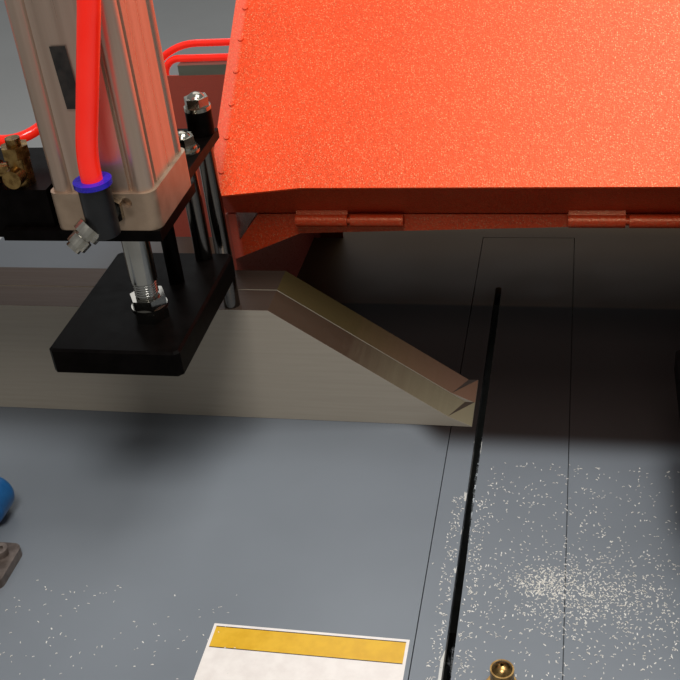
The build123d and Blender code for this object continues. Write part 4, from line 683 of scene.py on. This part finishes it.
class CUTTER_OT_add_screws(bpy.types.Operator):
    """Adds the screws of the clamp cylinders, the cabinet sheets, the door hinges and the control box"""

    bl_idname = "cutter.add_screws"
    bl_label = "Screws"

    def execute(self, context):
        words = ("zinc_steel", "screw_socket")
        new_piece("cylinder_screws", self.cylinders(), words, "machine")
        head = context.scene.cutter_details.panel_screw / 2
        new_piece("sheet_screws", self.sheets((head, head * 0.5)), words, "machine")
        bm = bmesh.new()
        low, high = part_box("door_hinge_moving")
        x, y = high[0] - 9 * MM, low[1] + 6 * MM
        for z in (low[2] + 7 * MM, low[2] + 23 * MM, high[2] - 23 * MM, high[2] - 7 * MM):
            dome_screw(bm, facing((x, y, z), (0, -1, 0)), *HINGE_SCREW)
        new_piece("door_hinge_screws", bm, words, "door")
        return {"FINISHED"}

    def cylinders(self):
        """Four cap screws on each clamp cylinder, sunk into the cap."""
        bm = bmesh.new()
        for x in CLAMP_XS:
            for dx in (-CAP_HOLES, CAP_HOLES):
                for dy in (-CAP_HOLES, CAP_HOLES):
                    at = (x + dx, CLAMP_Y + dy, CAP_HIGH[2] - 5 * MM)
                    socket_screw(bm, facing(at, (0, 0, 1)), *CAP_SCREW)
        low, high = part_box("front_clamp_cylinder")
        middle = ((low[0] + high[0]) / 2, (low[2] + high[2]) / 2)
        for dx in (-FRONT_CAP_HOLES, FRONT_CAP_HOLES):
            for dz in (-FRONT_CAP_HOLES, FRONT_CAP_HOLES):
                at = (middle[0] + dx, low[1] + 4 * MM, middle[1] + dz)
                socket_screw(bm, facing(at, (0, -1, 0)), *FRONT_CAP_SCREW)
        return bm

    def sheets(self, panel_screw):
        """Screws along the edges of the cabinet's sheets, the control box and the spigot's flange."""
        bm = bmesh.new()
        low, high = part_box("side_panels")
        for side, x in ((-1, low[0]), (1, high[0])):
            for y in ends(low[1], high[1], SHEET_EDGE):
                for z in spaced(low[2] + SHEET_END, high[2] - SHEET_END, 4):
                    dome_screw(bm, facing((x, y, z), (side, 0, 0)), *panel_screw)
        low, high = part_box("rear_panel")
        for x in ends(low[0], high[0], SHEET_EDGE):
            for z in spaced(low[2] + SHEET_END, high[2] - SHEET_END, 4):
                dome_screw(bm, facing((x, high[1], z), (0, 1, 0)), *panel_screw)
        for z in ends(low[2], high[2], SHEET_EDGE):
            for x in spaced(low[0] + REAR_ROW_END, high[0] - REAR_ROW_END, 3):
                dome_screw(bm, facing((x, high[1], z), (0, 1, 0)), *panel_screw)
        # the front strip's row, and the corners of the lower strip beside the drawer
        low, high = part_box("front_panels")
        for x in (low[0] + SHEET_EDGE, 0.0, high[0] - SHEET_EDGE):
            dome_screw(bm, facing((x, low[1], high[2] - 30 * MM), (0, -1, 0)), *panel_screw)
        for x in (70 * MM, high[0] - SHEET_EDGE):
            for z in (low[2] + SHEET_EDGE, low[2] + 180 * MM):
                dome_screw(bm, facing((x, low[1], z), (0, -1, 0)), *panel_screw)
        low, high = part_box("control_box")
        for x in ends(low[0], high[0], BOX_EDGE):
            for z in ends(low[2], high[2], BOX_EDGE):
                dome_screw(bm, facing((x, low[1], z), (0, -1, 0)), *BOX_SCREW)
        low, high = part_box("dust_spigot")
        centre = ((low[0] + high[0]) / 2, (low[2] + high[2]) / 2)
        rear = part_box("rear_panel")[1][1]
        for k in range(6):
            turn = math.radians(30 + 60 * k)
            at = (centre[0] + FLANGE_CIRCLE * math.cos(turn), rear + 2 * MM,
                  centre[1] + FLANGE_CIRCLE * math.sin(turn))
            dome_screw(bm, facing(at, (0, 1, 0)), *FLANGE_SCREW)
        return bm


# radius, depth, pitch and length of each thread
ROD_THREAD = (7.9 * MM, 1.1 * MM, 2 * MM, 12.5 * MM)
STUD_THREAD = (7.9 * MM, 0.9 * MM, 2 * MM, 18 * MM)
# where the rod's thread starts over the foot's plate, and where the studs stand and their threads start
FOOT_PLATE = 20 * MM
ROD_THREAD_UP = 19.2 * MM
STUD_INSET = 45 * MM
STUD_THREAD_UP = 22.5 * MM


class CUTTER_OT_add_threads(bpy.types.Operator):
    """Adds the threads on the clamp rods and on the levelling studs"""

    bl_idname = "cutter.add_threads"
    bl_label = "Threads"

    def execute(self, context):
        for side, x in (("left", CLAMP_XS[0]), ("right", CLAMP_XS[1])):
            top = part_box("clamp_foot_" + side)[0][2] + FOOT_PLATE
            bm = bmesh.new()
            thread_ridge(bm, facing((x, CLAMP_Y, top + ROD_THREAD_UP), (0, 0, 1)), *ROD_THREAD)
            new_piece(side + "_rod_thread", bm, ("bright_steel",), side + "_clamp")
        bm = bmesh.new()
        low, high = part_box("levelling_feet")
        for x in ends(low[0], high[0], STUD_INSET):
            for y in ends(low[1], high[1], STUD_INSET):
                thread_ridge(bm, facing((x, y, STUD_THREAD_UP), (0, 0, 1)), *STUD_THREAD)
        new_piece("stud_threads", bm, ("zinc_steel",), "machine")
        return {"FINISHED"}


# where the chips lie, in millimetres: a heap right of the slot, its tail, a wide scatter and a thin one
# left of the slot. Each line says up to which share of the chips it counts, how x and y are drawn, and
# the two numbers of each draw. The chips beyond the last share lie along the slot.
CHIP_FIELDS = (
    (0.10, "gauss", (64, 13), (-181, 8)),
    (0.46, "gauss", (98, 34), (-190, 22)),
    (0.82, "uniform", (12, 190), (-290, -45)),
    (0.87, "uniform", (-340, -150), (-350, -215)),
)
SLOT_BANKS = (4.5, 14)
SLOT_RUN = (-310, -90)
# no chip lies at the nozzle's foot, in the slot or past the table's front edge
NOZZLE_AT = (38, -276)
NOZZLE_CLEAR = 12
SLOT_CLEAR = 4
FRONT_EDGE = -395


class CUTTER_OT_add_chips(bpy.types.Operator):
    """Scatters the aluminium chips that lie on the table round the slot"""

    bl_idname = "cutter.add_chips"
    bl_label = "Chips on the table"

    def execute(self, context):
        sizes = context.scene.cutter_details
        draw = random.Random(7)
        places = []
        for _ in range(sizes.chip_count):
            pick = draw.random()
            field = next((line for line in CHIP_FIELDS if pick < line[0]), None)
            if field:
                spread = getattr(draw, field[1])
                places.append((spread(*field[2]), spread(*field[3])))
            else:
                places.append((draw.choice((-1, 1)) * draw.uniform(*SLOT_BANKS), draw.uniform(*SLOT_RUN)))
        bm = bmesh.new()
        for x, y in places:
            at_nozzle = math.hypot(x - NOZZLE_AT[0], y - NOZZLE_AT[1]) < NOZZLE_CLEAR
            if at_nozzle or abs(x) < SLOT_CLEAR or y < FRONT_EDGE:
                continue
            self.curl(bm, draw, (x * MM, y * MM, TABLE_TOP + 0.05 * MM), sizes.chip_size)
        new_piece("table_chips", bm, ("chips",), "machine")
        return {"FINISHED"}

    def curl(self, bm, draw, at, size):
        """One chip: a short bent strip lying at a random turn."""
        long = size * draw.uniform(0.5, 1.5)
        wide = size * draw.uniform(0.25, 0.6)
        high = size * draw.uniform(0.1, 0.45)
        place = Matrix.Translation(at) @ Matrix.Rotation(draw.uniform(0, 2 * math.pi), 4, "Z")
        rows = []
        for u, h in ((-0.5, 0.0), (0.0, high), (0.5, high * 0.2)):
            rows.append([bm.verts.new(place @ Vector((u * long, v * wide, h))) for v in (-0.5, 0.5)])
        for low, top in zip(rows, rows[1:]):
            bm.faces.new((low[0], top[0], top[1], low[1]))


# each lamp's name, place, the point it looks at and its size, in metres
LAMPS = (
    ("key", (0.12, -1.10, 2.75), (-0.1, 0.0, 0.9), 0.6),
    ("top", (0.48, 0.05, 3.05), (0.1, 0.0, 0.9), 0.9),
    ("back", (-0.5, 1.9, 3.0), (0, 0, 0.9), 2.0),
)


class CUTTER_OT_add_stage(bpy.types.Operator):
    """Adds the pale floor, soft lamps, pale world and the camera"""

    bl_idname = "cutter.add_stage"
    bl_label = "Stage, lamps and camera"

    def execute(self, context):
        scene = context.scene
        sizes = scene.cutter_stage
        mesh = bpy.data.meshes.new("floor")
        half = sizes.floor_half
        corners = [(-half, -half, 0), (half, -half, 0), (half, half, 0), (-half, half, 0)]
        mesh.from_pydata(corners, [], [(0, 1, 2, 3)])
        floor = bpy.data.objects.new("floor", mesh)
        scene.collection.objects.link(floor)
        mesh.materials.append(drifting("Floor_pale_matt", "CFCFCC", "D3D3D0", 400, (0.8, 0.9)))
        world = bpy.data.worlds.new("studio")
        world.use_nodes = True
        sky = world.node_tree.nodes["Background"]
        sky.inputs["Color"].default_value = linear("E9ECEE")
        path = add_node(world.node_tree, "ShaderNodeLightPath")
        levels = [add_node(world.node_tree, "ShaderNodeMapRange", [("Value", path.outputs[kind])],
                           To_Min=sizes.world_strength, To_Max=top).outputs[0]
                  for kind, top in (("Is Camera Ray", sizes.backdrop_strength),
                                    ("Is Glossy Ray", sizes.mirrored_strength))]
        level = add_node(world.node_tree, "ShaderNodeMath", [(0, levels[0]), (1, levels[1])],
                         operation="MAXIMUM")
        world.node_tree.links.new(level.outputs[0], sky.inputs["Strength"])
        scene.world = world
        for name, place, aim, size in LAMPS:
            lamp = bpy.data.lights.new(name, "AREA")
            lamp.size = size
            lamp.energy = getattr(sizes, name + "_power")
            held = bpy.data.objects.new(name, lamp)
            held.location = place
            held.rotation_euler = (Vector(aim) - Vector(place)).to_track_quat("-Z", "Y").to_euler()
            scene.collection.objects.link(held)
        add_camera(scene)
        scene.view_settings.view_transform = "Standard"
        return {"FINISHED"}


# the photograph's camera, found from the square cylinder cap and the table's lines
YAW = math.radians(-14.54)
PITCH = math.radians(33.27)
ROLL = math.radians(6.56)
CAMERA_AT = Vector((0.0774, -0.7533, TABLE_TOP + 0.600))
LENS_MM = 57.12


def add_camera(scene):
    """Sets the camera at the photograph's place, turned and tipped as it was held."""
    look = Vector((math.sin(YAW) * math.cos(PITCH), math.cos(YAW) * math.cos(PITCH), -math.sin(PITCH)))
    level = Vector((math.cos(YAW), -math.sin(YAW), 0))
    down = look.cross(level)
    right = math.cos(ROLL) * level + math.sin(ROLL) * down
    up = math.sin(ROLL) * level - math.cos(ROLL) * down
    turn = Matrix((right, up, -look)).transposed()
    data = bpy.data.cameras.new("camera")
    data.lens = LENS_MM
    data.clip_start = 0.02
    data.clip_end = 60
    held = bpy.data.objects.new("camera", data)
    held.matrix_world = Matrix.Translation(CAMERA_AT) @ turn.to_4x4()
    scene.collection.objects.link(held)
    scene.camera = held


# Settings that a user would change
class CutterFinish(bpy.types.PropertyGroup):
    hood_colour: FloatVectorProperty(
        name="Hood colour", description="Colour of the textured hood paint",
        default=linear("F64A20")[:3], subtype="COLOR", size=3, min=0, max=1)
    table_colour: FloatVectorProperty(
        name="Table colour", description="Colour of the table enamel",
        default=linear("767B80")[:3], subtype="COLOR", size=3, min=0, max=1)


class CutterDetails(bpy.types.PropertyGroup):
    label_width: FloatProperty(
        name="Label width", description="Width of the bare label on the table",
        default=0.145, min=0, unit="LENGTH")
    label_depth: FloatProperty(
        name="Label depth", description="Depth of the bare label on the table",
        default=0.1, min=0, unit="LENGTH")
    label_band: FloatProperty(
        name="Label band", description="Width of the label's yellow band",
        default=0.02, min=0, unit="LENGTH")
    panel_screw: FloatProperty(
        name="Panel screw", description="Head width of the cabinet's screws",
        default=0.0095, min=0, unit="LENGTH")
    chip_count: IntProperty(
        name="Chips", description="How many chips are scattered on the table",
        default=3000, min=0)
    chip_size: FloatProperty(
        name="Chip size", description="Usual length of a chip",
        default=0.0015, min=0, unit="LENGTH")


class CutterStage(bpy.types.PropertyGroup):
    floor_half: FloatProperty(
        name="Floor reach", description="Half the side of the floor",
        default=15.0, unit="LENGTH")
    world_strength: FloatProperty(
        name="World light", description="Strength of the world's light",
        default=0.22)
    backdrop_strength: FloatProperty(
        name="Backdrop", description="Strength of the world as the camera sees it",
        default=0.8)
    mirrored_strength: FloatProperty(
        name="Mirrored world", description="Strength of the world in glossy surfaces",
        default=0.3)
    key_power: FloatProperty(
        name="Key lamp", description="Power of the main lamp",
        default=20.0, subtype="POWER")
    top_power: FloatProperty(
        name="Top lamp", description="Power of the lamp overhead",
        default=28.0, subtype="POWER")
    back_power: FloatProperty(
        name="Back lamp", description="Power of the lamp behind",
        default=16.0, subtype="POWER")


class CUTTER_PT_panel(bpy.types.Panel):
    bl_idname = "CUTTER_PT_panel"
    bl_label = "Cutting machine"
    bl_space_type = "VIEW_3D"
    bl_region_type = "UI"
    bl_category = "Cutting machine"

    def draw(self, context):
        for name in ORDER:
            self.layout.operator("cutter." + name)


ORDER = ("dress_solids", "add_fence", "add_labels", "add_screws", "add_threads", "add_chips", "add_stage")
CLASSES = (
    CutterFinish, CutterDetails, CutterStage,
    CUTTER_OT_dress_solids, CUTTER_OT_add_fence, CUTTER_OT_add_labels, CUTTER_OT_add_screws,
    CUTTER_OT_add_threads, CUTTER_OT_add_chips, CUTTER_OT_add_stage, CUTTER_PT_panel,
)


def register():
    for cls in CLASSES:
        bpy.utils.register_class(cls)
    bpy.types.Scene.cutter_finish = PointerProperty(type=CutterFinish)
    bpy.types.Scene.cutter_details = PointerProperty(type=CutterDetails)
    bpy.types.Scene.cutter_stage = PointerProperty(type=CutterStage)


def unregister():
    del bpy.types.Scene.cutter_stage
    del bpy.types.Scene.cutter_details
    del bpy.types.Scene.cutter_finish
    for cls in reversed(CLASSES):
        bpy.utils.unregister_class(cls)


def main():
    register()
    for name in ORDER:
        getattr(bpy.ops.cutter, name)()


if __name__ == "__main__":
    main()
